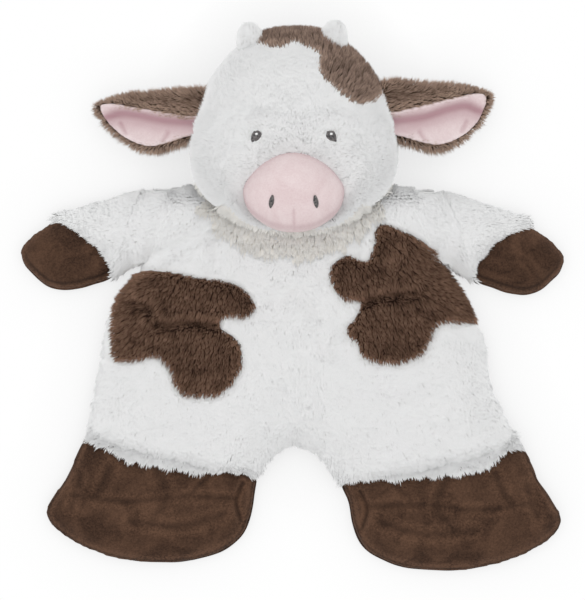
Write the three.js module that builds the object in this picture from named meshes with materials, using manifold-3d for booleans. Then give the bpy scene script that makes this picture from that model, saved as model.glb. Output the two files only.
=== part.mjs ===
// A weighted plush lap pad in the form of a flat, floppy cow that lies on its back, face up.
// Millimetres, +Z up, +Y from the feet to the head, +X to the right as the pad is seen from above.
// The long fur is left out: each form is the cloth skin that the fur grows from.

import * as THREE from "three";
import { mergeVertices } from "three/addons/utils/BufferGeometryUtils.js";
import Module from "manifold-3d";

const wasm = await Module();
wasm.setup();

// Cloth walls and clearances
const plushWall = 2.4;
const velourWall = 1.6;
const linerWall = 0.8;
const seamGap = 0.3;
const fillingGap = 0.6;

// Torso: one flat bag with two short leg lobes, widths from the middle line
const torsoMiddleY = -45;
const torsoSeamHeight = 8.5;
const torsoHeight = 34;
const neckHalfWidth = 26;
const neckCornerHalfWidth = 62;
const neckCornerDip = 2;
const shoulderY = 89;
const shoulderHalfWidth = 109;
const shoulderBow = 3;
const armpitY = 31;
const armpitHalfWidth = 130;
const ribY = -14;
const ribHalfWidth = 156;
const hipY = -78;
const hipHalfWidth = 167;
const ankleY = -122;
const ankleHalfWidth = 175;
const legInnerX = 34;
const legEndY = -154;
const crotchHalfWidth = 22;
const crotchY = -128;
const rightLegSplay = 19;
const rightLegReach = 7;

// Brown belly patches, by their middles
const patchLeftX = -100;
const patchLeftY = -32;
const patchLeftWidth = 140;
const patchLeftLength = 108;
const patchRightX = 104;
const patchRightY = 3;
const patchRightWidth = 142;
const patchRightLength = 118;

// Bead bag inside the torso, quilted in pockets
const pocketColumns = 3;
const pocketRows = 3;
const pocketWidth = 96;
const pocketLength = 56;
const quiltSeam = 4;
const pocketsY = -36;

// Head: a stuffed ball, flat where it lies
const headX = 1;
const headY = 142;
const headWidth = 170;
const headLength = 170;
const headSeamHeight = 40;
const headRise = 46;
const headDrop = 52;
const headSwellExponent = 2.6;
const headRoundExponent = 0.5;
const crownPatchMiddleX = 35;
const crownPatchMiddleY = 60;
const crownPatchWidth = 130;
const crownPatchLength = 76;

// Muzzle, tilted with the slope of the face, and its nostrils
const muzzleBelowHead = 52;
const muzzleLift = 21;
const muzzleWidth = 86;
const muzzleLength = 70;
const muzzleRise = 35;
const muzzleTilt = 26;
const nostrilX = 18.5;
const nostrilBelowMuzzle = 12;
const nostrilWidth = 4;
const nostrilLength = 11;
const nostrilTilt = 14;

// Eyes and other stitched marks stand this much above the cloth
const stitchHeight = 1.5;
const eyeX = 31.5;
const eyeBelowHead = 7;
const eyeWidth = 8;
const eyeLength = 9.5;
const eyeTilt = 18;
const glintRadius = 1.5;

// Horns: two small nubs on the crown
const hornX = 37;
const hornAboveHead = 72;
const hornLift = 12;
const hornRadius = 11;
const hornLength = 19;
const hornSplay = 24;

// Ears: two leaves that droop from the sides of the head
const earX = 79;
const earAboveHead = 15;
const earLength = 95;
const earWidth = 50;
const earThickness = 10;
const earDroop = 15;
const earTurn = 14;

// Arms: furry sleeves with velour hooves
const armLength = 117;
const armWidth = 60;
const armHeight = 27;
const rightArmDrop = 6;

// Feet: broad velour hooves
const footWidth = 176;
const footLength = 92;
const footHeight = 23;

const plushWhite = cloth("#e3e3e3");
const plushBrown = cloth("#5a4238");
const earBrown = cloth("#8a7669");
const velourBrown = cloth("#5b443a");
const velourPink = cloth("#dccaca");
const linerCloth = cloth("#f2f0ea");
const fibre = cloth("#fafafa");
const beads = new THREE.MeshStandardMaterial({ color: "#b9c4cc", roughness: 0.35, metalness: 0 });
const thread = cloth("#3c3d42");
const threadWhite = cloth("#ffffff");

function cloth(color) {
  return new THREE.MeshStandardMaterial({ color, roughness: 0.95, metalness: 0 });
}

// A closed outline, counterclockwise, smooth through its control points
function smoothOutline(points, samplesPerPoint = 2) {
  const curve = new THREE.CatmullRomCurve3(
    points.map(([x, y]) => new THREE.Vector3(x, y, 0)),
    true,
    "centripetal",
  );
  const samples = curve.getPoints(points.length * samplesPerPoint).slice(0, -1);
  return counterclockwise(samples.map(({ x, y }) => new THREE.Vector2(x, y)));
}

// A closed outline of runs, each smooth through its own points, with a corner where two runs meet
function joinedOutline(runs) {
  const samples = runs.flatMap((run) => {
    const points = run.map(([x, y]) => new THREE.Vector3(x, y, 0));
    const curve = new THREE.CatmullRomCurve3(points, false, "centripetal");
    return curve.getPoints(2 * (run.length - 1)).slice(0, -1);
  });
  return counterclockwise(samples.map(({ x, y }) => new THREE.Vector2(x, y)));
}

function counterclockwise(outline) {
  return THREE.ShapeUtils.area(outline) < 0 ? [...outline].reverse() : outline;
}

function offsetOutline(outline, distance) {
  return outline.map((point, i) => {
    const before = outline.at(i - 1);
    const after = outline[(i + 1) % outline.length];
    const along = after.clone().sub(before).normalize();
    return new THREE.Vector2(point.x + along.y * distance, point.y - along.x * distance);
  });
}

// A stuffed form is an outline at its seam, crowned above and below it and flat on its floor.
// One ring of it lies at a share of the way from its middle to its seam, inside the cloth by inset.
// A negative inset grows the form, and its seam becomes a band.
function ring(form, share, side, inset) {
  const crown = (1 - share ** form.swell) ** form.round;
  const lift = Math.max(-inset, 0);
  const thinner = Math.max(inset, 0);
  const below = form.seam - lift - (form.drop - thinner) * crown;
  const above = form.seam + lift + (form.rise - thinner) * crown;
  const z = side > 0 ? above : Math.max(form.floor + inset, below);
  return offsetOutline(form.outline, -inset).map((edge) => {
    const point = form.middle.clone().lerp(edge, share);
    return new THREE.Vector3(point.x, point.y, z);
  });
}

// The rings on one side: below, the first one is where the form leaves its floor.
// Faces inside the cloth have fewer rings than its outside.
function ringShares(form, side, inset) {
  const shares = inset > 0 ? form.innerShares : form.shares;
  if (side > 0 || form.floor === -Infinity) return shares;
  const thinner = Math.max(inset, 0);
  const floorCrown = (form.seam - form.floor - thinner) / (form.drop - thinner);
  const flat = (1 - floorCrown ** (1 / form.round)) ** (1 / form.swell);
  const closest = 0.04;
  return [flat, ...shares.filter((share) => share > flat + closest)];
}

function addFaces(mesh, corners, upward) {
  for (const [a, b, c] of corners) mesh.index.push(...(upward ? [a, b, c] : [a, c, b]));
}

// Adds a band of faces between two rings and says where each ring's points start.
function addBand(mesh, inner, outer, count, upward) {
  for (let i = 0; i < count; i++) {
    const j = (i + 1) % count;
    addFaces(mesh, [[inner + i, outer + i, outer + j], [inner + i, outer + j, inner + j]], upward);
  }
}

// Adds one crowned face of a form and returns where the points of its rim start.
function addCrown(mesh, form, side, inset, outward) {
  const upward = side > 0 === outward;
  const count = form.outline.length;
  const centre = ring(form, 0, side, inset)[0];
  const tip = mesh.points.push(centre) - 1;
  const starts = ringShares(form, side, inset).map(
    (share) => mesh.points.push(...ring(form, share, side, inset)) - count,
  );
  for (let i = 0; i < count; i++) {
    addFaces(mesh, [[tip, starts[0] + i, starts[0] + ((i + 1) % count)]], upward);
  }
  for (let k = 1; k < starts.length; k++) addBand(mesh, starts[k - 1], starts[k], count, upward);
  return starts.at(-1);
}

function meshGeometry({ points, index }) {
  const geometry = new THREE.BufferGeometry().setFromPoints(points);
  return geometry.setIndex(index);
}

function solidOf(geometry) {
  const bare = geometry.clone();
  bare.deleteAttribute("normal");
  bare.deleteAttribute("uv");
  const merged = mergeVertices(bare, 1e-4);
  const vertProperties = new Float32Array(merged.attributes.position.array);
  const triVerts = new Uint32Array(merged.index.array);
  return new wasm.Manifold(new wasm.Mesh({ numProp: 3, vertProperties, triVerts }));
}

function geometryOf(solid) {
  const { vertProperties, triVerts } = solid.getMesh();
  const geometry = new THREE.BufferGeometry();
  geometry.setAttribute("position", new THREE.BufferAttribute(vertProperties, 3));
  geometry.setIndex(new THREE.BufferAttribute(triVerts, 1));
  geometry.computeVertexNormals();
  return geometry;
}

// A cut can leave crumbs beside the piece that is wanted.
function largest(solid) {
  return solid.decompose().sort((a, b) => b.volume() - a.volume())[0];
}

function placed(form, geometry) {
  return form.place ? geometry.applyMatrix4(form.place) : geometry;
}

// The whole form as one solid, larger all round by grow
function stuffing(form, grow = 0) {
  const mesh = { points: [], index: [] };
  const upperRim = addCrown(mesh, form, 1, -grow, true);
  const lowerRim = addCrown(mesh, form, -1, -grow, true);
  if (grow > 0) addBand(mesh, upperRim, lowerRim, form.outline.length, true);
  return solidOf(placed(form, meshGeometry(mesh)));
}

// One cloth panel of a form, open at the seam: side 1 is its front, side -1 its back.
function panel(form, side, wall) {
  const half = {
    ...form,
    seam: form.seam + (side * seamGap) / 2,
    rise: form.rise - seamGap / 2,
    drop: form.drop - seamGap / 2,
  };
  const mesh = { points: [], index: [] };
  const outerRim = addCrown(mesh, half, side, 0, true);
  const innerRim = addCrown(mesh, half, side, wall, false);
  addBand(mesh, innerRim, outerRim, half.outline.length, side < 0);
  return solidOf(placed(form, meshGeometry(mesh)));
}

// An upright prism over an outline, for cutting panels out of panels
function prism(outline, low, high) {
  const depth = high - low;
  const extruded = new THREE.ExtrudeGeometry(new THREE.Shape(outline), { depth, bevelEnabled: false });
  return solidOf(extruded.translate(0, 0, low));
}

const cutterTop = 200;

function cutter(outline, grow = 0) {
  return prism(offsetOutline(counterclockwise(outline), grow), -cutterTop, cutterTop);
}

function vectors(points) {
  return points.map(([x, y]) => new THREE.Vector2(x, y));
}

const pad = new THREE.Group();

function body(x, y, z) {
  const group = new THREE.Group();
  group.position.set(x, y, z);
  pad.add(group);
  return group;
}

// Hangs a solid, made where it lies on the pad, in the group of its body
function addPiece(group, name, solid, material) {
  const { x, y, z } = group.position;
  const mesh = new THREE.Mesh(geometryOf(solid).translate(-x, -y, -z), material);
  mesh.name = name;
  group.add(mesh);
}

// Where the underside of the head's ball meets the torso's seam, so the neck edge lies against it
function headReach(height) {
  const crown = (headSeamHeight - height) / headDrop;
  return ((1 - crown ** (1 / headRoundExponent)) ** (1 / headSwellExponent) * headLength) / 2;
}

const neckY = headY - headReach(torsoSeamHeight) - 2 * seamGap;

// The runs of one side of the torso's outline; splay and reach move its leg lobe
function torsoSide(side, splay, reach) {
  const hipSplay = splay / 4;
  const neckStep = (shoulderY - neckY) / 6;
  const outer = [ankleHalfWidth + splay, ankleY - reach];
  const inner = [legInnerX + splay / 2, legEndY - reach];
  const runs = {
    neck: [
      [neckHalfWidth, neckY + neckStep],
      [(neckHalfWidth + neckCornerHalfWidth) / 2, neckY + 3 * neckStep],
      [neckCornerHalfWidth, shoulderY - neckCornerDip],
      [(neckCornerHalfWidth + shoulderHalfWidth) / 2, shoulderY + shoulderBow],
      [shoulderHalfWidth, shoulderY],
    ],
    armhole: [
      [shoulderHalfWidth, shoulderY],
      [armpitHalfWidth, armpitY],
    ],
    flank: [
      [armpitHalfWidth, armpitY],
      [ribHalfWidth, ribY],
      [(ribHalfWidth + hipHalfWidth) / 2 + hipSplay, (ribY + hipY) / 2],
      [hipHalfWidth + hipSplay, hipY],
      outer,
    ],
    ankle: [outer, [(outer[0] + inner[0]) / 2, (outer[1] + inner[1]) / 2], inner],
    crotch: [inner, [crotchHalfWidth + hipSplay, (legEndY + crotchY) / 2]],
  };
  const placedRun = (run) => run.map(([x, y]) => [side * x, y]);
  return Object.fromEntries(Object.entries(runs).map(([name, run]) => [name, placedRun(run)]));
}

function torsoOutline() {
  const right = torsoSide(1, rightLegSplay, rightLegReach);
  const left = torsoSide(-1, 0, 0);
  return joinedOutline([
    [...left.neck.toReversed(), [0, neckY], ...right.neck],
    right.armhole,
    right.flank,
    right.ankle,
    [...right.crotch, [0, crotchY], ...left.crotch.toReversed()],
    left.ankle.toReversed(),
    left.flank.toReversed(),
    left.armhole.toReversed(),
  ]);
}

function torsoForm() {
  const rise = torsoHeight - torsoSeamHeight;
  return {
    outline: torsoOutline(),
    middle: new THREE.Vector2(0, torsoMiddleY),
    seam: torsoSeamHeight,
    floor: 0,
    rise,
    drop: rise,
    swell: 3.2,
    round: 1,
    shares: [0.55, 0.8, 0.92, 1],
    innerShares: [0.6, 0.88, 1],
  };
}

// Half an outline, in shares of half the width and half the length, mirrored to a whole one
function mirroredOutline(shape, x, y, width, length, samplesPerPoint) {
  const half = shape.map(([u, v]) => [(u * width) / 2, (v * length) / 2]);
  const other = half.slice(1, -1).reverse();
  const all = [...half, ...other.map(([u, v]) => [-u, v])];
  return smoothOutline(all.map(([u, v]) => [x + u, y + v]), samplesPerPoint);
}

const headShape = [
  [0, 1],
  [0.3, 0.96],
  [0.6, 0.76],
  [0.81, 0.49],
  [0.93, 0.18],
  [1, -0.18],
  [0.94, -0.5],
  [0.7, -0.77],
  [0.36, -0.94],
  [0, -1],
];

function headForm() {
  return {
    outline: mirroredOutline(headShape, headX, headY, headWidth, headLength),
    middle: new THREE.Vector2(headX, headY),
    seam: headSeamHeight,
    floor: 0,
    rise: headRise,
    drop: headDrop,
    swell: headSwellExponent,
    round: headRoundExponent,
    shares: [0.36, 0.64, 0.84, 0.95, 1],
    innerShares: [0.5, 0.85, 1],
  };
}

const muzzleShape = [
  [0, 1],
  [0.3, 0.93],
  [0.58, 0.74],
  [0.83, 0.44],
  [1, 0.05],
  [0.92, -0.42],
  [0.62, -0.78],
  [0.3, -0.96],
  [0, -1],
];

const muzzleY = headY - muzzleBelowHead;

function muzzleForm() {
  const tilt = THREE.MathUtils.degToRad(muzzleTilt);
  return {
    outline: mirroredOutline(muzzleShape, 0, 0, muzzleWidth, muzzleLength),
    middle: new THREE.Vector2(0, 0),
    seam: 0,
    floor: -Infinity,
    rise: muzzleRise,
    drop: muzzleRise / 4,
    swell: 2.4,
    round: 0.5,
    shares: [0.45, 0.75, 0.93, 1],
    innerShares: [0.6, 0.9, 1],
    place: new THREE.Matrix4().makeTranslation(headX, muzzleY, headSeamHeight + muzzleLift).multiply(
      new THREE.Matrix4().makeRotationX(tilt),
    ),
  };
}

const torso = torsoForm();
const head = headForm();
const muzzle = muzzleForm();

const headRoom = stuffing(head, seamGap);
const headSpace = stuffing(head, 2 * seamGap);
const torsoRoom = stuffing(torso, seamGap);

// The two brown belly patches and the two shoulders are panels sewn into the front.
// A patch's outline is in shares of half its width and half its length, and leaves the torso at its side.
const patchLeftShape = [
  [-1, 0.7],
  [-0.61, 0.85],
  [-0.44, 0.96],
  [-0.23, 1],
  [0.29, 0.89],
  [0.77, 0.76],
  [0.96, 0.46],
  [0.89, 0.3],
  [0.6, 0.3],
  [0.53, 0.13],
  [0.77, -0.15],
  [0.79, -0.56],
  [0.56, -0.93],
  [0.34, -1],
  [0.07, -0.96],
  [-0.07, -0.57],
  [-0.24, -0.39],
  [-0.43, -0.46],
  [-1.21, -0.46],
];

const patchRightShape = [
  [-0.42, 1],
  [0.51, 0.63],
  [1.14, -0.22],
  [1.14, -0.39],
  [0.51, -0.41],
  [0.27, -0.44],
  [0.2, -0.63],
  [0.11, -0.83],
  [-0.2, -1],
  [-0.59, -0.92],
  [-0.68, -0.71],
  [-0.8, -0.56],
  [-0.66, -0.29],
  [-0.63, -0.1],
  [-0.89, -0.03],
  [-1, 0.34],
  [-0.83, 0.54],
  [-0.56, 0.46],
  [-0.48, 0.66],
];

function patchOutline(shape, x, y, width, length) {
  return vectors(shape.map(([u, v]) => [x + (u * width) / 2, y + (v * length) / 2]));
}

// From the armpit along the shoulder seam to the neck, then round outside the torso,
// in shares of the way from the armpit to the neck's corner
const shoulderSeamShape = [
  [-0.18, -0.23],
  [0.47, 0.56],
  [0.99, 0.87],
  [1.27, 1.82],
  [-0.28, 2.02],
];

function shoulderOutline(side) {
  const across = armpitHalfWidth - neckCornerHalfWidth;
  const up = neckY - armpitY;
  const onSeam = ([u, v]) => [side * (armpitHalfWidth - u * across), armpitY + v * up];
  return vectors(shoulderSeamShape.map(onSeam));
}

function makeTorso() {
  const group = body(0, torsoMiddleY, 0);
  const shell = panel(torso, 1, plushWall).subtract(headRoom);
  const shoulders = [-1, 1].map((side) => shoulderOutline(side));
  const patches = [
    patchOutline(patchLeftShape, patchLeftX, patchLeftY, patchLeftWidth, patchLeftLength),
    patchOutline(patchRightShape, patchRightX, patchRightY, patchRightWidth, patchRightLength),
  ];
  let front = shell;
  for (const outline of [...shoulders, ...patches]) front = front.subtract(cutter(outline, seamGap / 2));
  addPiece(group, "front_panel", largest(front), plushWhite);
  shoulders.forEach((outline, i) => {
    const shoulder = shell.intersect(cutter(outline, -seamGap / 2));
    addPiece(group, "shoulder_" + sideName(i), largest(shoulder), plushWhite);
  });
  patches.forEach((outline, i) => {
    const patch = shell.intersect(cutter(outline, -seamGap / 2)).subtract(cutter(shoulders[i], seamGap / 2));
    addPiece(group, "belly_patch_" + sideName(i), largest(patch), plushBrown);
  });
  const back = panel(torso, -1, plushWall).subtract(headRoom);
  addPiece(group, "back_panel", largest(back), plushWhite);
  makeBeadBag(group);
}

function sideName(i) {
  return i === 0 ? "left" : "right";
}

// The same form, drawn in all round by inset
function shrunk(form, inset) {
  return {
    ...form,
    outline: offsetOutline(form.outline, -inset),
    floor: form.floor + inset,
    rise: form.rise - inset,
    drop: form.drop - inset,
    shares: form.innerShares,
  };
}

function makeBeadBag(group) {
  const liner = shrunk(torso, plushWall + fillingGap);
  addPiece(group, "liner_front", largest(panel(liner, 1, linerWall).subtract(headRoom)), linerCloth);
  addPiece(group, "liner_back", largest(panel(liner, -1, linerWall).subtract(headRoom)), linerCloth);
  const room = stuffing(liner, -linerWall - fillingGap).subtract(headSpace);
  const columnPitch = pocketWidth + quiltSeam;
  const rowPitch = pocketLength + quiltSeam;
  for (let row = 0; row < pocketRows; row++) {
    for (let column = 0; column < pocketColumns; column++) {
      const x = (column - (pocketColumns - 1) / 2) * columnPitch;
      const y = pocketsY + ((pocketRows - 1) / 2 - row) * rowPitch;
      const number = row * pocketColumns + column + 1;
      addPiece(group, "bead_pocket_" + number, largest(beadPocket(x, y).intersect(room)), beads);
    }
  }
}

// One pocket of beads: a rounded rectangle, crowned like a small pillow
function beadPocket(x, y) {
  const shape = [
    [0, 1],
    [0.7, 1],
    [1, 0.7],
    [1, 0],
    [1, -0.7],
    [0.7, -1],
    [0, -1],
  ];
  return stuffing({
    outline: mirroredOutline(shape, x, y, pocketWidth, pocketLength, 1),
    middle: new THREE.Vector2(x, y),
    seam: torsoSeamHeight,
    floor: 0,
    rise: torsoHeight - torsoSeamHeight,
    drop: torsoHeight,
    swell: 6,
    round: 1,
    shares: [0.7, 1],
  });
}

// In shares of half the patch's width and length; it leaves the head at its top and side
const crownPatchShape = [
  [-1.02, 1],
  [-0.97, 0.37],
  [-0.72, 0.32],
  [-0.49, 0.37],
  [-0.2, 0.08],
  [-0.23, -0.18],
  [-0.15, -0.5],
  [0.14, -0.89],
  [0.32, -1],
  [0.55, -0.87],
  [0.98, -0.79],
  [0.68, 0.74],
];

function ellipse(x, y, width, length, tilt, count) {
  const turn = THREE.MathUtils.degToRad(tilt);
  const curve = new THREE.EllipseCurve(x, y, width / 2, length / 2, 0, 2 * Math.PI, false, turn);
  return curve.getPoints(count).slice(0, -1);
}

// A thin mark stitched on a form: the outline, between two heights over the cloth
function stitchedMark(form, outline, low, high) {
  const above = stuffing(form, high).intersect(prism(outline, form.markFloor, cutterTop));
  return largest(above.subtract(stuffing(form, low)));
}

function makeFace(group) {
  const eyeY = headY - eyeBelowHead;
  const shell = panel(head, 1, plushWall);
  const crownX = headX + crownPatchMiddleX;
  const crownY = headY + crownPatchMiddleY;
  const crown = patchOutline(crownPatchShape, crownX, crownY, crownPatchWidth, crownPatchLength);
  addPiece(group, "face_panel", largest(shell.subtract(cutter(crown, seamGap / 2))), plushWhite);
  addPiece(group, "crown_patch", largest(shell.intersect(cutter(crown, -seamGap / 2))), plushBrown);
  const face = { ...head, markFloor: headSeamHeight };
  const glintLow = stitchHeight + 2 * seamGap;
  for (const [i, side] of [-1, 1].entries()) {
    const x = headX + side * eyeX;
    const eye = ellipse(x, eyeY, eyeWidth, eyeLength, -side * eyeTilt, 12);
    const glint = ellipse(x, eyeY + glintRadius, 2 * glintRadius, 2 * glintRadius, 0, 8);
    addPiece(group, "eye_" + sideName(i), stitchedMark(face, eye, seamGap, stitchHeight + seamGap), thread);
    const shine = stitchedMark(face, glint, glintLow, glintLow + stitchHeight / 2);
    addPiece(group, "eye_glint_" + sideName(i), shine, threadWhite);
  }
}

function makeMuzzle(group) {
  addPiece(group, "muzzle_cover", largest(panel(muzzle, 1, velourWall).subtract(headRoom)), velourPink);
  const inside = stuffing(muzzle, -velourWall - fillingGap).subtract(headRoom);
  addPiece(group, "muzzle_filling", largest(inside), fibre);
  const nose = { ...muzzle, markFloor: headSeamHeight + muzzleLift };
  const nostrilY = muzzleY - nostrilBelowMuzzle;
  for (const [i, side] of [-1, 1].entries()) {
    const x = headX + side * nostrilX;
    const slit = ellipse(x, nostrilY, nostrilWidth, nostrilLength, -side * nostrilTilt, 12);
    const mark = stitchedMark(nose, slit, seamGap, stitchHeight + seamGap);
    addPiece(group, "nostril_" + sideName(i), mark, thread);
  }
}

// A round nub on its own axis, which points out of the crown
function nub(side, inset) {
  const radius = hornRadius - inset;
  const length = hornLength - inset;
  const straight = length - radius;
  const dome = new THREE.EllipseCurve(0, straight, radius, radius, 0, Math.PI / 2).getPoints(3);
  dome.at(-1).x = 0;
  const profile = [new THREE.Vector2(0, 0), new THREE.Vector2(radius, 0), ...dome];
  const splay = THREE.MathUtils.degToRad(hornSplay);
  const geometry = new THREE.LatheGeometry(profile, 12).rotateZ(-side * splay);
  const y = headY + hornAboveHead - hornLength / 4;
  return solidOf(geometry.translate(headX + side * hornX, y, headSeamHeight + hornLift));
}

function makeHorns(group) {
  for (const [i, side] of [-1, 1].entries()) {
    const whole = nub(side, 0).subtract(headRoom);
    const inside = nub(side, velourWall + fillingGap);
    const cover = nub(side, 0).subtract(nub(side, velourWall)).subtract(headRoom);
    addPiece(group, "horn_" + sideName(i), largest(cover), plushWhite);
    addPiece(group, "horn_filling_" + sideName(i), largest(inside.intersect(whole)), fibre);
  }
}

function makeHead() {
  const group = body(headX, neckY, torsoSeamHeight);
  makeFace(group);
  addPiece(group, "head_back_panel", panel(head, -1, plushWall), plushWhite);
  addPiece(group, "head_filling", stuffing(head, -plushWall - fillingGap), fibre);
  makeMuzzle(group);
  makeHorns(group);
}

// Outward from the root and up towards the crown, in shares of the ear's length and width
const earShape = [
  [0, 0.4],
  [0.2, 0.38],
  [0.48, 0.32],
  [0.72, 0.28],
  [0.88, 0.2],
  [1, 0.08],
  [0.91, -0.14],
  [0.78, -0.36],
  [0.64, -0.54],
  [0.47, -0.65],
  [0.28, -0.58],
  [0.12, -0.46],
  [0, -0.34],
];

const earY = headY + earAboveHead;

function earForm(side) {
  const place = new THREE.Matrix4().makeTranslation(headX + side * earX, earY, headSeamHeight);
  place.multiply(new THREE.Matrix4().makeRotationZ(side * THREE.MathUtils.degToRad(earTurn)));
  place.multiply(new THREE.Matrix4().makeRotationY(side * THREE.MathUtils.degToRad(earDroop)));
  place.multiply(new THREE.Matrix4().makeRotationZ(-side * THREE.MathUtils.degToRad(earTurn)));
  return {
    outline: smoothOutline(earShape.map(([u, v]) => [side * u * earLength, v * earWidth]), 1),
    middle: new THREE.Vector2(side * 0.48 * earLength, -0.1 * earWidth),
    seam: 0,
    floor: -Infinity,
    rise: earThickness / 2,
    drop: earThickness / 2,
    swell: 3,
    round: 1,
    shares: [0.7, 1],
    place,
  };
}

// The lining is narrower than the ear: the furry back wraps far over its upper edge
const liningShape = [
  [0.05, -0.06],
  [0.29, 0],
  [0.65, 0.09],
  [0.85, 0.13],
  [0.93, 0.07],
  [0.86, -0.1],
  [0.77, -0.27],
  [0.63, -0.43],
  [0.46, -0.53],
  [0.3, -0.47],
  [0.16, -0.38],
  [0.05, -0.26],
];

function makeEar(i, side) {
  const form = earForm(side);
  const group = body(headX + side * earX, earY, headSeamHeight);
  const bed = smoothOutline(liningShape.map(([u, v]) => [side * u * earLength, v * earWidth]), 1);
  const low = -earThickness / 4;
  const liningRoom = prism(bed, low, earThickness).transform(form.place.elements);
  const liningSpace = prism(offsetOutline(bed, -seamGap), low + seamGap, earThickness);
  const whole = stuffing(form).subtract(headSpace);
  addPiece(group, "ear_back_" + sideName(i), largest(whole.subtract(liningRoom)), earBrown);
  const lining = whole.intersect(liningSpace.transform(form.place.elements));
  addPiece(group, "ear_lining_" + sideName(i), largest(lining), velourPink);
}

// Outward from the middle of the armhole and up, in shares of the arm's length and width
const armShape = [
  [0.1, 0.5],
  [0.39, 0.35],
  [0.6, 0.23],
  [0.73, 0.11],
  [0.83, -0.01],
  [0.93, -0.15],
  [1, -0.33],
  [0.98, -0.5],
  [0.91, -0.66],
  [0.82, -0.81],
  [0.72, -0.88],
  [0.6, -0.87],
  [0.48, -0.81],
  [0.32, -0.69],
  [0.19, -0.57],
];

// The cuff, from above the arm to below it, and on round the hoof
const cuffShape = [
  [0.74, 0.28],
  [0.66, 0.03],
  [0.51, -0.12],
  [0.4, -0.3],
  [0.34, -0.52],
  [0.31, -0.85],
  [0.5, -1.3],
  [1.3, -1],
  [1.2, 0.4],
];

function armForm(side, droop) {
  const rootX = (shoulderHalfWidth + armpitHalfWidth) / 2;
  const rootY = (shoulderY + armpitY) / 2;
  const onArm = ([u, v]) => [side * (rootX + u * armLength), rootY + v * armWidth - u * droop];
  const armhole = torsoSide(side, 0, 0).armhole.map(([x, y]) => [x + 2 * side * seamGap, y]);
  const rise = armHeight - torsoSeamHeight;
  return {
    outline: joinedOutline([[armhole[0], ...armShape.map(onArm), armhole[1]], armhole.toReversed()]),
    middle: new THREE.Vector2(...onArm([0.45, -0.22])),
    cuff: vectors(cuffShape.map(onArm)),
    seam: torsoSeamHeight,
    floor: 0,
    rise,
    drop: rise,
    swell: 2.8,
    round: 1,
    shares: [0.6, 0.86, 1],
    innerShares: [0.72, 1],
  };
}

function makeArm(i, side) {
  const form = armForm(side, i * rightArmDrop);
  const name = sideName(i);
  const group = body(side * armpitHalfWidth, armpitY, torsoSeamHeight);
  for (const [face, word] of [[1, "front"], [-1, "back"]]) {
    const shell = panel(form, face, plushWall).subtract(torsoRoom);
    const sleeve = shell.subtract(cutter(form.cuff, seamGap / 2));
    const hoof = shell.intersect(cutter(form.cuff, -seamGap / 2));
    addPiece(group, "sleeve_" + word + "_" + name, largest(sleeve), plushWhite);
    addPiece(group, "hand_hoof_" + word + "_" + name, largest(hoof), velourBrown);
  }
  const inside = stuffing(form, -plushWall - fillingGap).subtract(torsoRoom);
  addPiece(group, "arm_filling_" + name, largest(inside), fibre);
}

// Outward and down from the middle of the ankle, in shares of half the foot's width and its length
const footShape = [
  [0.9, 0.07],
  [0.99, -0.14],
  [1.12, -0.34],
  [1.22, -0.51],
  [1.2, -0.62],
  [1.09, -0.73],
  [0.9, -0.84],
  [0.66, -0.93],
  [0.36, -0.99],
  [0.08, -1],
  [-0.22, -0.97],
  [-0.47, -0.89],
  [-0.65, -0.76],
  [-0.74, -0.58],
  [-0.78, -0.36],
];

function footForm(side, splay, reach) {
  const middleX = (ankleHalfWidth + legInnerX) / 2 + (5 * splay) / 6;
  const middleY = (ankleY + legEndY) / 2 - reach;
  const onFoot = ([u, v]) => [side * (middleX + (u * footWidth) / 2), middleY + v * footLength];
  const ankle = torsoSide(side, splay, reach).ankle.map(([x, y]) => [x, y - 2 * seamGap]);
  const rise = footHeight - torsoSeamHeight;
  return {
    outline: joinedOutline([[ankle[0], ...footShape.map(onFoot), ankle[2]], ankle.toReversed()]),
    middle: new THREE.Vector2(...onFoot([0.2, -0.5])),
    seam: torsoSeamHeight,
    floor: 0,
    rise,
    drop: rise,
    swell: 2.8,
    round: 1,
    shares: [0.6, 0.86, 1],
    innerShares: [0.72, 1],
  };
}

function makeFoot(i, side) {
  const form = footForm(side, i * rightLegSplay, i * rightLegReach);
  const name = sideName(i);
  const group = body(side * legInnerX, legEndY, torsoSeamHeight);
  const top = panel(form, 1, velourWall).subtract(torsoRoom);
  const sole = panel(form, -1, velourWall).subtract(torsoRoom);
  const inside = stuffing(form, -velourWall - fillingGap).subtract(torsoRoom);
  addPiece(group, "foot_top_" + name, largest(top), velourBrown);
  addPiece(group, "foot_sole_" + name, largest(sole), velourBrown);
  addPiece(group, "foot_filling_" + name, largest(inside), fibre);
}

makeTorso();
makeHead();
for (const [i, side] of [-1, 1].entries()) {
  makeEar(i, side);
  makeArm(i, side);
  makeFoot(i, side);
}

// The origin is under the middle of the pad, on the surface that it lies on.
const bounds = new THREE.Box3().setFromObject(pad);
const centre = bounds.getCenter(new THREE.Vector3());
pad.position.set(-centre.x, -centre.y, -bounds.min.z);

const lapPad = new THREE.Group();
lapPad.add(pad);

export default lapPad;
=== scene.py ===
# A weighted plush lap pad in the form of a flat, floppy cow that lies on its back, face up.
# Sizes are in millimetres until they reach a mesh, and metres there.
import math

import bmesh
import bpy
import numpy as np
from mathutils import Matrix, Vector, geometry, noise
from mathutils.bvhtree import BVHTree


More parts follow.
